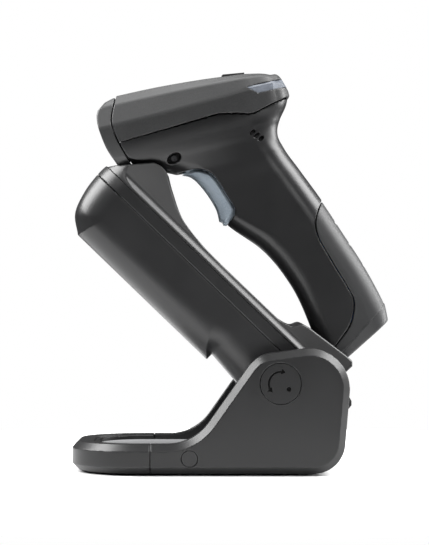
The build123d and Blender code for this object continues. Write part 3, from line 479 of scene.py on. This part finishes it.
def trigger(x, y, z):
    """The trigger, with a finger cove down its front."""
    depth = np.clip(-trigger_front(x, z) / 6.0, 0, 1)
    flank = np.abs(y) - TRIGGER_HALF + 3.4 * (1 - depth) ** 2
    d = cmax(trigger_side(x, z), flank, 1.3)
    # a hidden flange behind the flanks closes the view through the gap round the trigger
    flange = np.maximum(trigger_side(x, z) - 1.1, np.abs(y) - 12.5)
    d = np.minimum(d, np.maximum(flange, trigger_front(x, z) + 2.0))
    cove = np.hypot(y / 2.6, np.maximum(-trigger_front(x, z), 0)) - 3.6
    return rmax(d, -cove, 1.2)


# ---------------------------------------------------------------- cradle: forms and casings
ARM_HALF, ARM_WALL = 34.0, 2.5
ARM_END, ARM_LOW_END, UNDERSIDE = -152.0, 22.4, -19.3
BACK_TOP, BAND_TOP = 12.4, 19.2
STEP_X, STEP_HEIGHT, HUB_R = -37.0, 4.0, 24.2
ARM_SEAM = 0.12                  # half the seam between the back shell and the band
SHAFT_BORE_R = 8.1               # clearance round the pivot shaft
TONGUE, TONGUE_DEPTH = 1.2, 1.6  # how deep in the wall the lap joint lies, and its height
ARM_SCREWS = [(x, y) for x in (-118, -54) for y in (-11, 11)]


def polar(radius, angle):
    """Point at a distance and an angle in degrees from the pivot."""
    return radius * math.cos(math.radians(angle)), radius * math.sin(math.radians(angle))


arm_side = Profile([(-153, 60), (-150.6, 22)]
                   + spline([(-150.6, 22), (-152, 15), (-150.3, 2), (-145.6, -11.5),
                             (-136, UNDERSIDE)])
                   + [(STEP_X, UNDERSIDE), (STEP_X, UNDERSIDE + STEP_HEIGHT)]
                   + [polar(HUB_R, angle) for angle in range(225, 340, 4)]
                   + [(60, -9.5), (60, 60)])
cover_side = Profile([(-150.6, 10), (-150.4, 20.2), (-150.2, 22.2), (-148.2, 22.9),
                      (-131.3, 41.0), (-125.5, 40.4)]
                     + spline([(-125.5, 40.4), (-116, 34.6), (-101.5, 27.6), (-84, 24.6),
                               (-68, 24.0)])
                     + spline([(-24, 24.2), (-16.6, 26.4), (-13.6, 31.0), (-8.5, 32.8)])
                     + [(16.5, 35.8), (21.0, 35.8), (22.8, 33.7), (ARM_LOW_END, 28),
                        (ARM_LOW_END, 10)])
head_rest = Profile([(-14, -30.9), (3.0, -32.7), (11.0, -34.3), (23.4, -36.2), (27, -39.5),
                     (31, -46), (40, -64), (70, -64), (70, 20), (-14, 20)])
head_bed = Profile([(11.0, -34.3), (19.0, -38.2), (36.0, -46.6), (70, -64), (70, -28),
                    (11.0, -28)])
FLANK_INNER = 25.8               # half the gap between the head rest's flanks
grip_pocket = Profile([(78, -118), (85.3, -146), (86.5, -175.4), (131, -153.4), (136, -120)])
CRADLE_TO_SCANNER = SCANNER.inverted() @ CRADLE


def arm_form(x, y, z):
    """The arm's outer form, with well rounded lower long edges."""
    side = np.abs(y)
    d = rmax(arm_side(x, z), side - ARM_HALF, 18.0)
    plan = rmax(ARM_END - 0.5 - x, side - ARM_HALF, 22.0)
    d = rmax(d, plan, 2.0)
    return rmax(d, x - ARM_LOW_END, 1.5)


def cradle_back_shell(x, y, z):
    """The arm's lower casing, with its screw wells, two vent slots and the shaft's bore."""
    form = arm_form(x, y, z)
    d = hollow(form, ARM_WALL)
    d = rmax(d, z - (BACK_TOP - ARM_SEAM), 0.25)
    d = np.maximum(d, -np.maximum(form + TONGUE, BACK_TOP - TONGUE_DEPTH - z))
    for sx, sy in ARM_SCREWS:
        d = rmax(d, -np.maximum(np.hypot(x - sx, y - sy) - 2.7, z - UNDERSIDE - 1.8), 0.25)
    for sy in (-13, 13):
        slot = np.hypot(np.maximum(np.abs(x + 126.4) - 2.3, 0), y - sy) - 2.2
        d = rmax(d, -np.maximum(slot, z + 10), 0.3)
    return np.maximum(d, SHAFT_BORE_R - np.hypot(x, z))


def cradle_band(x, y, z):
    """The band, with a thinner tongue above and below that laps inside its neighbours."""
    form = arm_form(x, y, z)
    middle, half = (BACK_TOP + BAND_TOP) / 2, (BAND_TOP - BACK_TOP) / 2
    d = rmax(hollow(form, ARM_WALL), BACK_TOP + ARM_SEAM - z, 0.25)
    d = rmax(d, z - BAND_TOP + 0.02, 0.05)
    tongue = np.maximum(np.maximum(form + TONGUE + 0.15, -(form + ARM_WALL)),
                        np.abs(z - middle) - (half + TONGUE_DEPTH - 0.2))
    return np.minimum(d, tongue)


def cover_section(side, z):
    """Section across the arm: a bevel beside the ridge, then the pedestal's leaning flank."""
    bevel = edge(side, z, (29.6, 24.6), (ARM_HALF, BAND_TOP + 0.9))
    flank = smooth_min(edge(side, z, (27.0, 44.0), (28.5, 34.0)),
                       edge(side, z, (28.5, 34.0), (30.6, 24.6)), 2.0)
    return rmax(side - ARM_HALF, smooth_min(bevel, flank, 1.0), 0.2)


def cradle_top_cover(x, y, z):
    """The arm's upper casing, with the head rest, the grip's pocket and the light bar's slot."""
    side = np.abs(y)
    crown = cover_section(side, z)
    d = rmax(cover_side(x, z), crown, 0.5 + 0.7 * np.clip((z - 25) / 8, 0, 1))
    plan = rmax(ARM_END - x, side - ARM_HALF, 22.0)
    d = rmax(d, plan, 0.6)
    d = rmax(d, BAND_TOP + 0.02 - z, 0.05)
    under = np.maximum(cover_side(x, z), crown) + 2.4
    under = np.maximum(under, np.maximum(side - 31, plan + 2.6))
    lap = np.maximum(arm_form(x, y, z) + TONGUE, z - (BAND_TOP + TONGUE_DEPTH))
    d = np.maximum(d, -np.minimum(under, np.maximum(lap, -143 - x)))
    m = CRADLE_TO_SCANNER
    xs = m[0][0] * x + m[0][2] * z + m[0][3]
    zs = m[2][0] * x + m[2][2] * z + m[2][3]
    bed = np.maximum(head_bed(xs, zs), side - FLANK_INNER)
    d = rmax(d, -np.minimum(head_rest(xs, zs), bed), 0.6)
    d = rmax(d, -np.maximum(grip_pocket(xs, zs), side - 18.8), 0.8)
    return np.maximum(d, -box(x, y, z, (-68.35, -2.55, 22), (-45.25, 2.55, 40)))


# ---------------------------------------------------------------- base: forms and casings
EAR_INNER, EAR_COVER, BASE_HALF = 36.0, 2.0, 50.0   # ear's inner face, its cover, outer face
FOOT, RIM = 1.2, 17.0            # heights of the foot's underside and of its rim
RING_SEAM_X, FRONT = -34.8, -78.7
CHAMFER = 3.6
LATCH = (-13.5, 9.5)
CAP_R, CAP_SPACE_R, LATCH_SPACE_R = 10.95, 11.2, 4.45
MARK_R, MARK_ANGLE = 6.4, 146    # the cap's engraved arc, and the way its middle points
ear_side = Profile(rounded([(-90, FOOT, 0), (-90, RIM, 0), (-11.4, RIM, 28), (22.9, 65.4, 17),
                            (75.4, 72.2, 22), (69.4, FOOT, 17)]))


def side_shell(x, y, z):
    """Outer shell of one ear and its part of the foot; the far side is its mirror image."""
    side = np.abs(y)
    d = cmax(ear_side(x, z), side - BASE_HALF, CHAMFER)
    d = rmax(d, EAR_INNER + EAR_COVER + 0.02 - side, 0.3)
    d = np.maximum(d, RING_SEAM_X + 0.05 - x)
    inside = np.maximum(ear_side(x, z) + 3.0, side - (BASE_HALF - 2.8))
    d = np.maximum(d, -np.maximum(inside, RING_SEAM_X + 3 - x))
    cap = np.hypot(x - PIVOT[0], z - PIVOT[1]) - CAP_SPACE_R
    d = rmax(d, -np.maximum(cap, BASE_HALF - 1.1 - side), 0.2)
    latch = np.hypot(x - LATCH[0], z - LATCH[1]) - LATCH_SPACE_R
    d = rmax(d, -np.maximum(latch, 44 - side), 0.2)
    socket = box(x, side, z, (RING_SEAM_X - 1, 40.2, 5.2), (RING_SEAM_X + 5, 45.8, 12.8))
    return np.maximum(d, -socket)


def foot_plan(x, y, inset):
    """Plan of the foot's rounded front, drawn in by inset."""
    return rmax(np.abs(y) - (BASE_HALF - inset), FRONT + inset - x, 38.0 - inset)


def front_ring(x, y, z):
    """The foot's rounded front rim, hollow from below, with two tongues into the side shells."""
    d = cmax(foot_plan(x, y, 0), np.abs(z - (RIM + FOOT) / 2) - (RIM - FOOT) / 2, CHAMFER)
    d = rmax(d, -foot_plan(x, y, BASE_HALF - EAR_INNER), 0.5)
    step = np.maximum(foot_plan(x, y, BASE_HALF - EAR_INNER - EAR_COVER), RIM - 0.9 - z)
    d = rmax(d, -step, 0.2)
    d = np.maximum(d, x - (RING_SEAM_X - 0.03))
    groove = np.maximum(foot_plan(x, y, 5.2), -foot_plan(x, y, 11.4))
    groove = np.maximum(np.maximum(groove, z - 13.4), x - (RING_SEAM_X - 5))
    d = np.maximum(d, -groove)
    tongue = box(x, np.abs(y), z, (RING_SEAM_X - 6, 40.5, 5.5), (RING_SEAM_X + 14, 45.5, 12.5))
    return np.minimum(d, tongue)


def pivot_cap(x, y, z):
    """Round cap with a generic engraved mark: an arc with an arrow head at each end."""
    u, v = x - PIVOT[0], z - PIVOT[1]
    radius, angle = np.hypot(u, v), np.degrees(np.arctan2(v, u))
    d = rmax(radius - CAP_R, np.abs(np.abs(y) - (BASE_HALF - 0.6)) - 0.55, 0.15)
    turn = np.abs((angle - MARK_ANGLE + 180) % 360 - 180)
    arc = np.maximum(np.abs(radius - MARK_R) - 0.5, (turn - 62) * 0.11)
    arrows = 9.0
    for end in (-1, 1):
        tip = math.radians(MARK_ANGLE + end * 76)
        across = np.array((math.cos(tip), math.sin(tip)))
        along = np.array((-math.sin(tip), math.cos(tip))) * end
        centre = across * MARK_R
        a = (u - centre[0]) * along[0] + (v - centre[1]) * along[1]
        b = np.abs((u - centre[0]) * across[0] + (v - centre[1]) * across[1])
        arrows = np.minimum(arrows, np.maximum(a * 0.6 + b * 0.8 - 0.3, -a - 1.9))
    mark = np.minimum(np.minimum(arc, arrows), np.hypot(u - 4.4, v + 3.0) - 1.3)
    return rmax(d, -np.maximum(mark, BASE_HALF - 0.45 - np.abs(y)), 0.1)


# ---------------------------------------------------------------- materials
class Nodes:
    """Short way to write a material's node tree."""

    def __init__(self, name):
        self.material = bpy.data.materials.new(name)
        self.material.use_nodes = True
        self.tree = self.material.node_tree
        self.shader = self.tree.nodes["Principled BSDF"]
        self.place = self.add("ShaderNodeTexCoord").outputs["Object"]

    def add(self, kind, **values):
        node = self.tree.nodes.new(kind)
        for key, value in values.items():
            setattr(node, key, value)
        return node

    def link(self, source, target):
        self.tree.links.new(source, target)

    def feed(self, socket, source):
        """Links a source to one of the shader's sockets."""
        self.link(source, self.shader.inputs[socket])

    def noise(self, grain_mm, detail=2.0, stretch=None):
        """Noise whose features are about grain_mm wide."""
        node = self.add("ShaderNodeTexNoise")
        node.inputs["Scale"].default_value = 1000.0 / grain_mm
        node.inputs["Detail"].default_value = detail
        place = self.place
        if stretch:
            turn = self.add("ShaderNodeMapping")
            turn.inputs["Scale"].default_value = stretch
            self.link(place, turn.inputs["Vector"])
            place = turn.outputs["Vector"]
        self.link(place, node.inputs["Vector"])
        return node.outputs["Fac"]

    def ramp(self, factor, low, high, first, last):
        """Maps a factor from low..high to a blend of two colours or two numbers."""
        if isinstance(first, (int, float)):
            node = self.add("ShaderNodeMapRange")
            limits = {"From Min": low, "From Max": high, "To Min": first, "To Max": last}
            for key, value in limits.items():
                node.inputs[key].default_value = value
            self.link(factor, node.inputs["Value"])
            return node.outputs["Result"]
        node = self.add("ShaderNodeValToRGB")
        node.color_ramp.elements[0].position, node.color_ramp.elements[1].position = low, high
        node.color_ramp.elements[0].color = (*first, 1)
        node.color_ramp.elements[1].color = (*last, 1)
        self.link(factor, node.inputs["Fac"])
        return node.outputs["Color"]

    def mix(self, factor, a, b):
        """Blend from a to b; each of the three is a number, a colour or a socket."""
        node = self.add("ShaderNodeMix", data_type="RGBA")
        for name, value in (("Factor", factor), ("A", a), ("B", b)):
            socket = node.inputs[name]
            if isinstance(value, (int, float)):
                socket.default_value = value
            elif isinstance(value, tuple):
                socket.default_value = (*value, 1)
            else:
                self.link(value, socket)
        return node.outputs["Result"]

    def bump(self, height, depth_mm):
        """Normal of a surface that a height of 0..1 raises by up to depth_mm."""
        node = self.add("ShaderNodeBump")
        node.inputs["Distance"].default_value = depth_mm / 1000.0
        self.link(height, node.inputs["Height"])
        return node.outputs["Normal"]


def tint(colour, factor):
    """A colour made darker or lighter."""
    return tuple(min(1.0, c * factor) for c in colour)


def moulded(name, colour, rough, grain=0.45, depth=0.02, speckle=0.12, cloud=0.10, edge_highlight_strength=0.35,
            specular=0.5, coat=0.0):
    """Moulded plastic: fine grain, a faint cloudiness, and a painted highlight that lightens sharp
    edges.

    grain and depth are the size and height of the grain in mm; speckle and cloud are how strong
    the spots and the cloudiness are, and the argument after cloud sets how strong the painted
    highlight on sharp edges is.
    """
    n = Nodes(name)
    fine = n.noise(grain, 3.0)
    broad = n.noise(34.0, 3.0)
    base = n.ramp(broad, 0.3, 0.7, tint(colour, 1 - cloud), tint(colour, 1 + cloud))
    base = n.mix(speckle, base, n.ramp(fine, 0.35, 0.65, tint(colour, 0.55), tint(colour, 1.7)))
    # painted highlight: sharp edges, found by pointiness, are lightened in the base colour
    pointed = n.add("ShaderNodeNewGeometry").outputs["Pointiness"]
    painted_edge_highlight = n.ramp(pointed, 0.52, 0.60, 0.0, edge_highlight_strength)
    base = n.mix(painted_edge_highlight, base, tint(colour, 1.9))
    n.feed("Base Color", base)
    n.feed("Roughness", n.ramp(n.mix(0.5, fine, broad), 0.35, 0.65, rough - 0.05, rough + 0.06))
    n.feed("Normal", n.bump(fine, depth))
    n.shader.inputs["Specular IOR Level"].default_value = specular
    if coat:
        n.shader.inputs["Coat Weight"].default_value = coat
        n.shader.inputs["Coat Roughness"].default_value = 0.18
    return n.material


def metal(name, colour, rough, brushed=(1, 1, 8), depth=0.006):
    """Plated or brushed metal with fine drawn lines and dulled patches."""
    n = Nodes(name)
    lines = n.noise(1.2, 4.0, brushed)
    patches = n.noise(5.0, 3.0)
    n.feed("Base Color", n.ramp(patches, 0.3, 0.75, tint(colour, 0.8), tint(colour, 1.05)))
    n.feed("Roughness", n.ramp(lines, 0.3, 0.7, rough - 0.08, rough + 0.1))
    n.feed("Normal", n.bump(lines, depth))
    n.shader.inputs["Metallic"].default_value = 1.0
    return n.material


def dark_engraved(name, colour, rough, level):
    """Moulded plastic whose engravings, below level metres from the middle, are coloured near
    black and reflect little.
    """
    n = Nodes(name)
    parts = n.add("ShaderNodeSeparateXYZ")
    n.link(n.place, parts.inputs["Vector"])
    height = n.add("ShaderNodeMath", operation="ABSOLUTE")
    n.link(parts.outputs["Y"], height.inputs[0])
    fine = n.noise(0.5, 3.0)
    base = n.ramp(fine, 0.3, 0.7, tint(colour, 0.9), tint(colour, 1.1))
    bottom, top = level - 0.0001, level + 0.0001
    # the engraved recesses are coloured near black and get a weak reflection
    surface = n.ramp(height.outputs["Value"], bottom, top, 0.0, 1.0)
    n.feed("Base Color", n.mix(surface, (0.0015, 0.0015, 0.0015), base))
    n.feed("Roughness", n.ramp(fine, 0.3, 0.7, rough - 0.04, rough + 0.04))
    n.feed("Normal", n.bump(fine, 0.012))
    n.feed("Specular IOR Level", n.ramp(height.outputs["Value"], bottom, top, 0.1, 0.5))
    return n.material


def clear(name, colour, rough, transmission, glow=None):
    """Clear or milky moulding, with faint flow lines inside and fine surface haze."""
    n = Nodes(name)
    flow = n.noise(6.0, 2.0, (1, 3, 3))
    haze = n.noise(0.8, 3.0)
    n.feed("Base Color", n.ramp(flow, 0.3, 0.7, tint(colour, 0.82), tint(colour, 1.12)))
    n.feed("Roughness", n.ramp(haze, 0.3, 0.7, rough * 0.7, rough * 1.4))
    n.feed("Normal", n.bump(haze, 0.004))
    n.shader.inputs["Transmission Weight"].default_value = transmission
    n.shader.inputs["IOR"].default_value = 1.49
    if glow:
        n.feed("Emission Color", n.ramp(flow, 0.35, 0.65, tint(glow, 0.6), glow))
        n.shader.inputs["Emission Strength"].default_value = 0.08
    return n.material


def circuit(name):
    """Solder-masked board: green with darker traces and small pale pads."""
    n = Nodes(name)
    cells = n.add("ShaderNodeTexVoronoi", feature="DISTANCE_TO_EDGE")
    cells.inputs["Scale"].default_value = 420.0
    n.link(n.place, cells.inputs["Vector"])
    base = n.ramp(cells.outputs["Distance"], 0.03, 0.09, (0.02, 0.10, 0.045), (0.03, 0.2, 0.08))
    pads = n.ramp(n.noise(1.6), 0.68, 0.7, 0.0, 0.8)
    n.feed("Base Color", n.mix(pads, base, (0.5, 0.5, 0.48)))
    n.shader.inputs["Roughness"].default_value = 0.4
    n.feed("Normal", n.bump(cells.outputs["Distance"], 0.02))
    return n.material


textured = moulded("textured_black", (0.027, 0.0275, 0.028), 0.44, grain=0.6, depth=0.035,
                   speckle=0.3, edge_highlight_strength=0.2)
satin = moulded("satin_black", (0.0105, 0.0106, 0.0112), 0.33, grain=0.5, depth=0.003,
                speckle=0.08, edge_highlight_strength=0.1)
arm_satin = moulded("arm_black", (0.0125, 0.0126, 0.0132), 0.36, grain=0.5, depth=0.003,
                    speckle=0.08, edge_highlight_strength=0.2)
door_skin = moulded("door_grey_black", (0.024, 0.0245, 0.0255), 0.46, grain=0.5, depth=0.005,
                    edge_highlight_strength=0.2)
bezel_skin = moulded("bezel_black", (0.034, 0.0345, 0.035), 0.36, grain=0.5, depth=0.008, edge_highlight_strength=0.2)
CHARCOAL = (0.0075, 0.0076, 0.008)
base_skin = moulded("base_charcoal", CHARCOAL, 0.36, grain=0.5, depth=0.008, edge_highlight_strength=0.25)
cap_skin = dark_engraved("cap_charcoal", CHARCOAL, 0.36, (BASE_HALF - 0.3) / 1000)
tray_skin = moulded("tray_grey", (0.19, 0.192, 0.195), 0.38, grain=0.4, depth=0.012, speckle=0.06)
trigger_skin = moulded("trigger_blue_grey", (0.31, 0.365, 0.42), 0.28, grain=0.6, depth=0.006,
                       speckle=0.04, cloud=0.05, edge_highlight_strength=0.15, coat=0.25)
inner_skin = moulded("inside_plastic", (0.06, 0.06, 0.065), 0.5)
rubber_skin = moulded("foot_rubber", (0.02, 0.02, 0.02), 0.8, grain=0.8, depth=0.05, specular=0.3)
sleeve_skin = moulded("battery_sleeve", (0.04, 0.10, 0.30), 0.25, grain=2.0, depth=0.01)
board_skin = circuit("circuit_board")
steel = metal("spring_steel", (0.55, 0.55, 0.57), 0.28)
screw_skin = metal("screw_steel", (0.10, 0.10, 0.105), 0.30)
ballast_skin = metal("ballast_steel", (0.35, 0.35, 0.37), 0.45, (1, 12, 1), 0.02)
brass = metal("contact_brass", (0.80, 0.58, 0.24), 0.22)
light_skin = clear("status_light", (0.18, 0.195, 0.22), 0.2, 0.1, glow=(0.3, 0.36, 0.5))
bar_skin = clear("light_bar", (0.55, 0.56, 0.58), 0.3, 0.2)
window_skin = clear("scan_window", (0.16, 0.03, 0.035), 0.04, 0.85)
lens_skin = clear("lens", (0.6, 0.66, 0.72), 0.03, 0.9)
NODE_MATERIALS = {
    textured: ["head_top_shell", "top_button"],
    satin: ["grip_housing"],
    door_skin: ["battery_door"],
    bezel_skin: ["nose_bezel"],
    trigger_skin: ["trigger"],
    light_skin: ["status_light_guide"],
    window_skin: ["scan_window"],
    lens_skin: ["imager_lens", "illumination_lenses", "aimer_lens"],
    inner_skin: ["scan_engine", "inner_frame", "beeper", "button_switch", "trigger_switch",
                 "pivot_bushes", "detent_disc"],
    board_skin: ["main_board", "cradle_board", "connector_board"],
    screw_skin: ["housing_screws", "cradle_screws", "base_screws", "trigger_pin", "pivot_shafts"],
    steel: ["trigger_spring", "release_spring", "latch_springs"],
    brass: ["battery_contacts", "charge_contacts", "charge_pins"],
    sleeve_skin: ["battery_pack"],
    arm_satin: ["cradle_back_shell", "cradle_band", "cradle_top_cover", "rear_bridge",
                "tilt_release_button", "host_socket"],
    bar_skin: ["cradle_light_bar"],
    base_skin: ["side_shell_left", "side_shell_right", "ear_cover_left", "ear_cover_right",
                "front_ring", "base_plate", "latch_button_left", "latch_button_right"],
    cap_skin: ["pivot_cap_left", "pivot_cap_right"],
    tray_skin: ["tray_panel"],
    ballast_skin: ["ballast_plate"],
    rubber_skin: ["rubber_feet"],
}
for skin, names in NODE_MATERIALS.items():
    for name in names:
        mesh = NODES[name].data
        mesh.materials.clear()
        mesh.materials.append(skin)
        mesh.shade_smooth()
        mesh.set_sharp_from_angle(angle=math.radians(32))


# ---------------------------------------------------------------- casings round the frame
casing("shell.head", head_top_shell, (2, -34, -24), (106, 34, 8), SCANNER, "scanner",
       ["head_top_shell"], textured)
casing("shell.bezel", nose_bezel, (-2, -34, -35), (16, 34, 8), SCANNER, "scanner",
       ["nose_bezel"], bezel_skin)
casing("shell.grip", grip_housing, (5, -33, -176), (123, 33, -16), SCANNER, "scanner",
       ["grip_housing"], satin)
casing("shell.door", battery_door, (86, -20, -176), (132, 20, -74), SCANNER, "battery_door",
       ["battery_door"], door_skin)
casing("shell.trigger", trigger, (33, -15.5, -79), (61, 15.5, -44), SCANNER, "trigger",
       ["trigger"], trigger_skin, STEP * 0.6)
casing("shell.arm_back", cradle_back_shell, (-154, -35, -26), (24, 35, 13), CRADLE, "cradle",
       ["cradle_back_shell"], arm_satin)
casing("shell.arm_band", cradle_band, (-154, -35, 11), (24, 35, 21), CRADLE, "cradle",
       ["cradle_band"], arm_satin)
casing("shell.arm_cover", cradle_top_cover, (-154, -35, 19), (24, 35, 42), CRADLE, "cradle",
       ["cradle_top_cover"], arm_satin)
for name, low, high in (("left", -51, -37), ("right", 37, 51)):
    casing("shell.ear_" + name, side_shell, (-36, low, 0), (77, high, 74), BASE, "base",
           ["side_shell_" + name], base_skin)
    casing("cap." + name, pivot_cap, (PIVOT[0] - 12, low, PIVOT[1] - 12),
           (PIVOT[0] + 12, high, PIVOT[1] + 12), BASE, "base", ["pivot_cap_" + name],
           cap_skin, STEP * 0.45)
casing("shell.ring", front_ring, (-80, -51, 0), (-19, 51, 18), BASE, "front_ring", ["front_ring"],
       base_skin)


# ---------------------------------------------------------------- stage, light and camera
def plain(name, colour, rough):
    """Matt paint with hardly any variation, for the stage."""
    n = Nodes(name)
    n.feed("Base Color", n.ramp(n.noise(400.0), 0.3, 0.7, tint(colour, 0.985), colour))
    n.shader.inputs["Roughness"].default_value = rough
    return n.material


FLOOR_RADIUS = 0.34              # m
bpy.ops.mesh.primitive_circle_add(vertices=96, radius=FLOOR_RADIUS, fill_type="NGON",
                                  location=(0, 0, 0))
floor = bpy.context.object
floor.name = "floor"
floor.data.materials.append(plain("floor_white", (0.86, 0.86, 0.86), 0.7))

# the world lights the part dimly, and the camera sees it white
world = bpy.data.worlds.new("studio")
bpy.context.scene.world = world
world.use_nodes = True
tree = world.node_tree
background = tree.nodes["Background"]
seen = tree.nodes.new("ShaderNodeBackground")
seen.inputs["Color"].default_value = (1, 1, 1, 1)
background.inputs["Color"].default_value = (0.11, 0.11, 0.112, 1)
path = tree.nodes.new("ShaderNodeLightPath")
blend = tree.nodes.new("ShaderNodeMixShader")
tree.links.new(path.outputs["Is Camera Ray"], blend.inputs["Fac"])
tree.links.new(background.outputs["Background"], blend.inputs[1])
tree.links.new(seen.outputs["Background"], blend.inputs[2])
tree.links.new(blend.outputs["Shader"], tree.nodes["World Output"].inputs["Surface"])


def softbox(name, place, target, size, power):
    """Rectangular lamp at place, facing target, with its size in metres and power in watts."""
    data = bpy.data.lights.new(name, "AREA")
    data.shape = "RECTANGLE"
    data.size, data.size_y = size
    data.energy = power
    lamp = bpy.data.objects.new(name, data)
    bpy.context.scene.collection.objects.link(lamp)
    lamp.location = place
    lamp.rotation_euler = (Vector(target) - Vector(place)).to_track_quat("-Z", "Y").to_euler()


softbox("overhead", (0.1, 0.35, 1.25), (0, 0, 0.1), (1.2, 0.9), 10)
softbox("upper_right", (1.0, 0.0, 1.05), (0, 0, 0.1), (0.9, 0.9), 32)
softbox("upper_left", (-0.98, 0.1, 0.95), (0, 0, 0.1), (0.9, 0.9), 34)
softbox("right_back", (1.15, 0.55, 0.32), (0, 0, 0.12), (0.5, 0.8), 12)
softbox("front_right", (0.36, -1.2, 0.60), (-0.06, 0, 0.17), (0.5, 0.3), 2.5)
softbox("front_top", (-0.25, -0.95, 1.1), (0, 0, 0.12), (0.9, 0.5), 5)

CAMERA_DISTANCE, CAMERA_HEIGHT, CAMERA_LENS = 1.3, 0.1099, 194.8   # m, m, mm
camera = bpy.data.objects.new("camera", bpy.data.cameras.new("camera"))
bpy.context.scene.collection.objects.link(camera)
bpy.context.scene.camera = camera
camera.location = (0, -CAMERA_DISTANCE, CAMERA_HEIGHT)
camera.rotation_euler = (math.pi / 2, 0, 0)
camera.data.sensor_fit = "HORIZONTAL"
camera.data.sensor_width = 36
camera.data.lens = CAMERA_LENS
bpy.context.scene.view_settings.view_transform = "Standard"
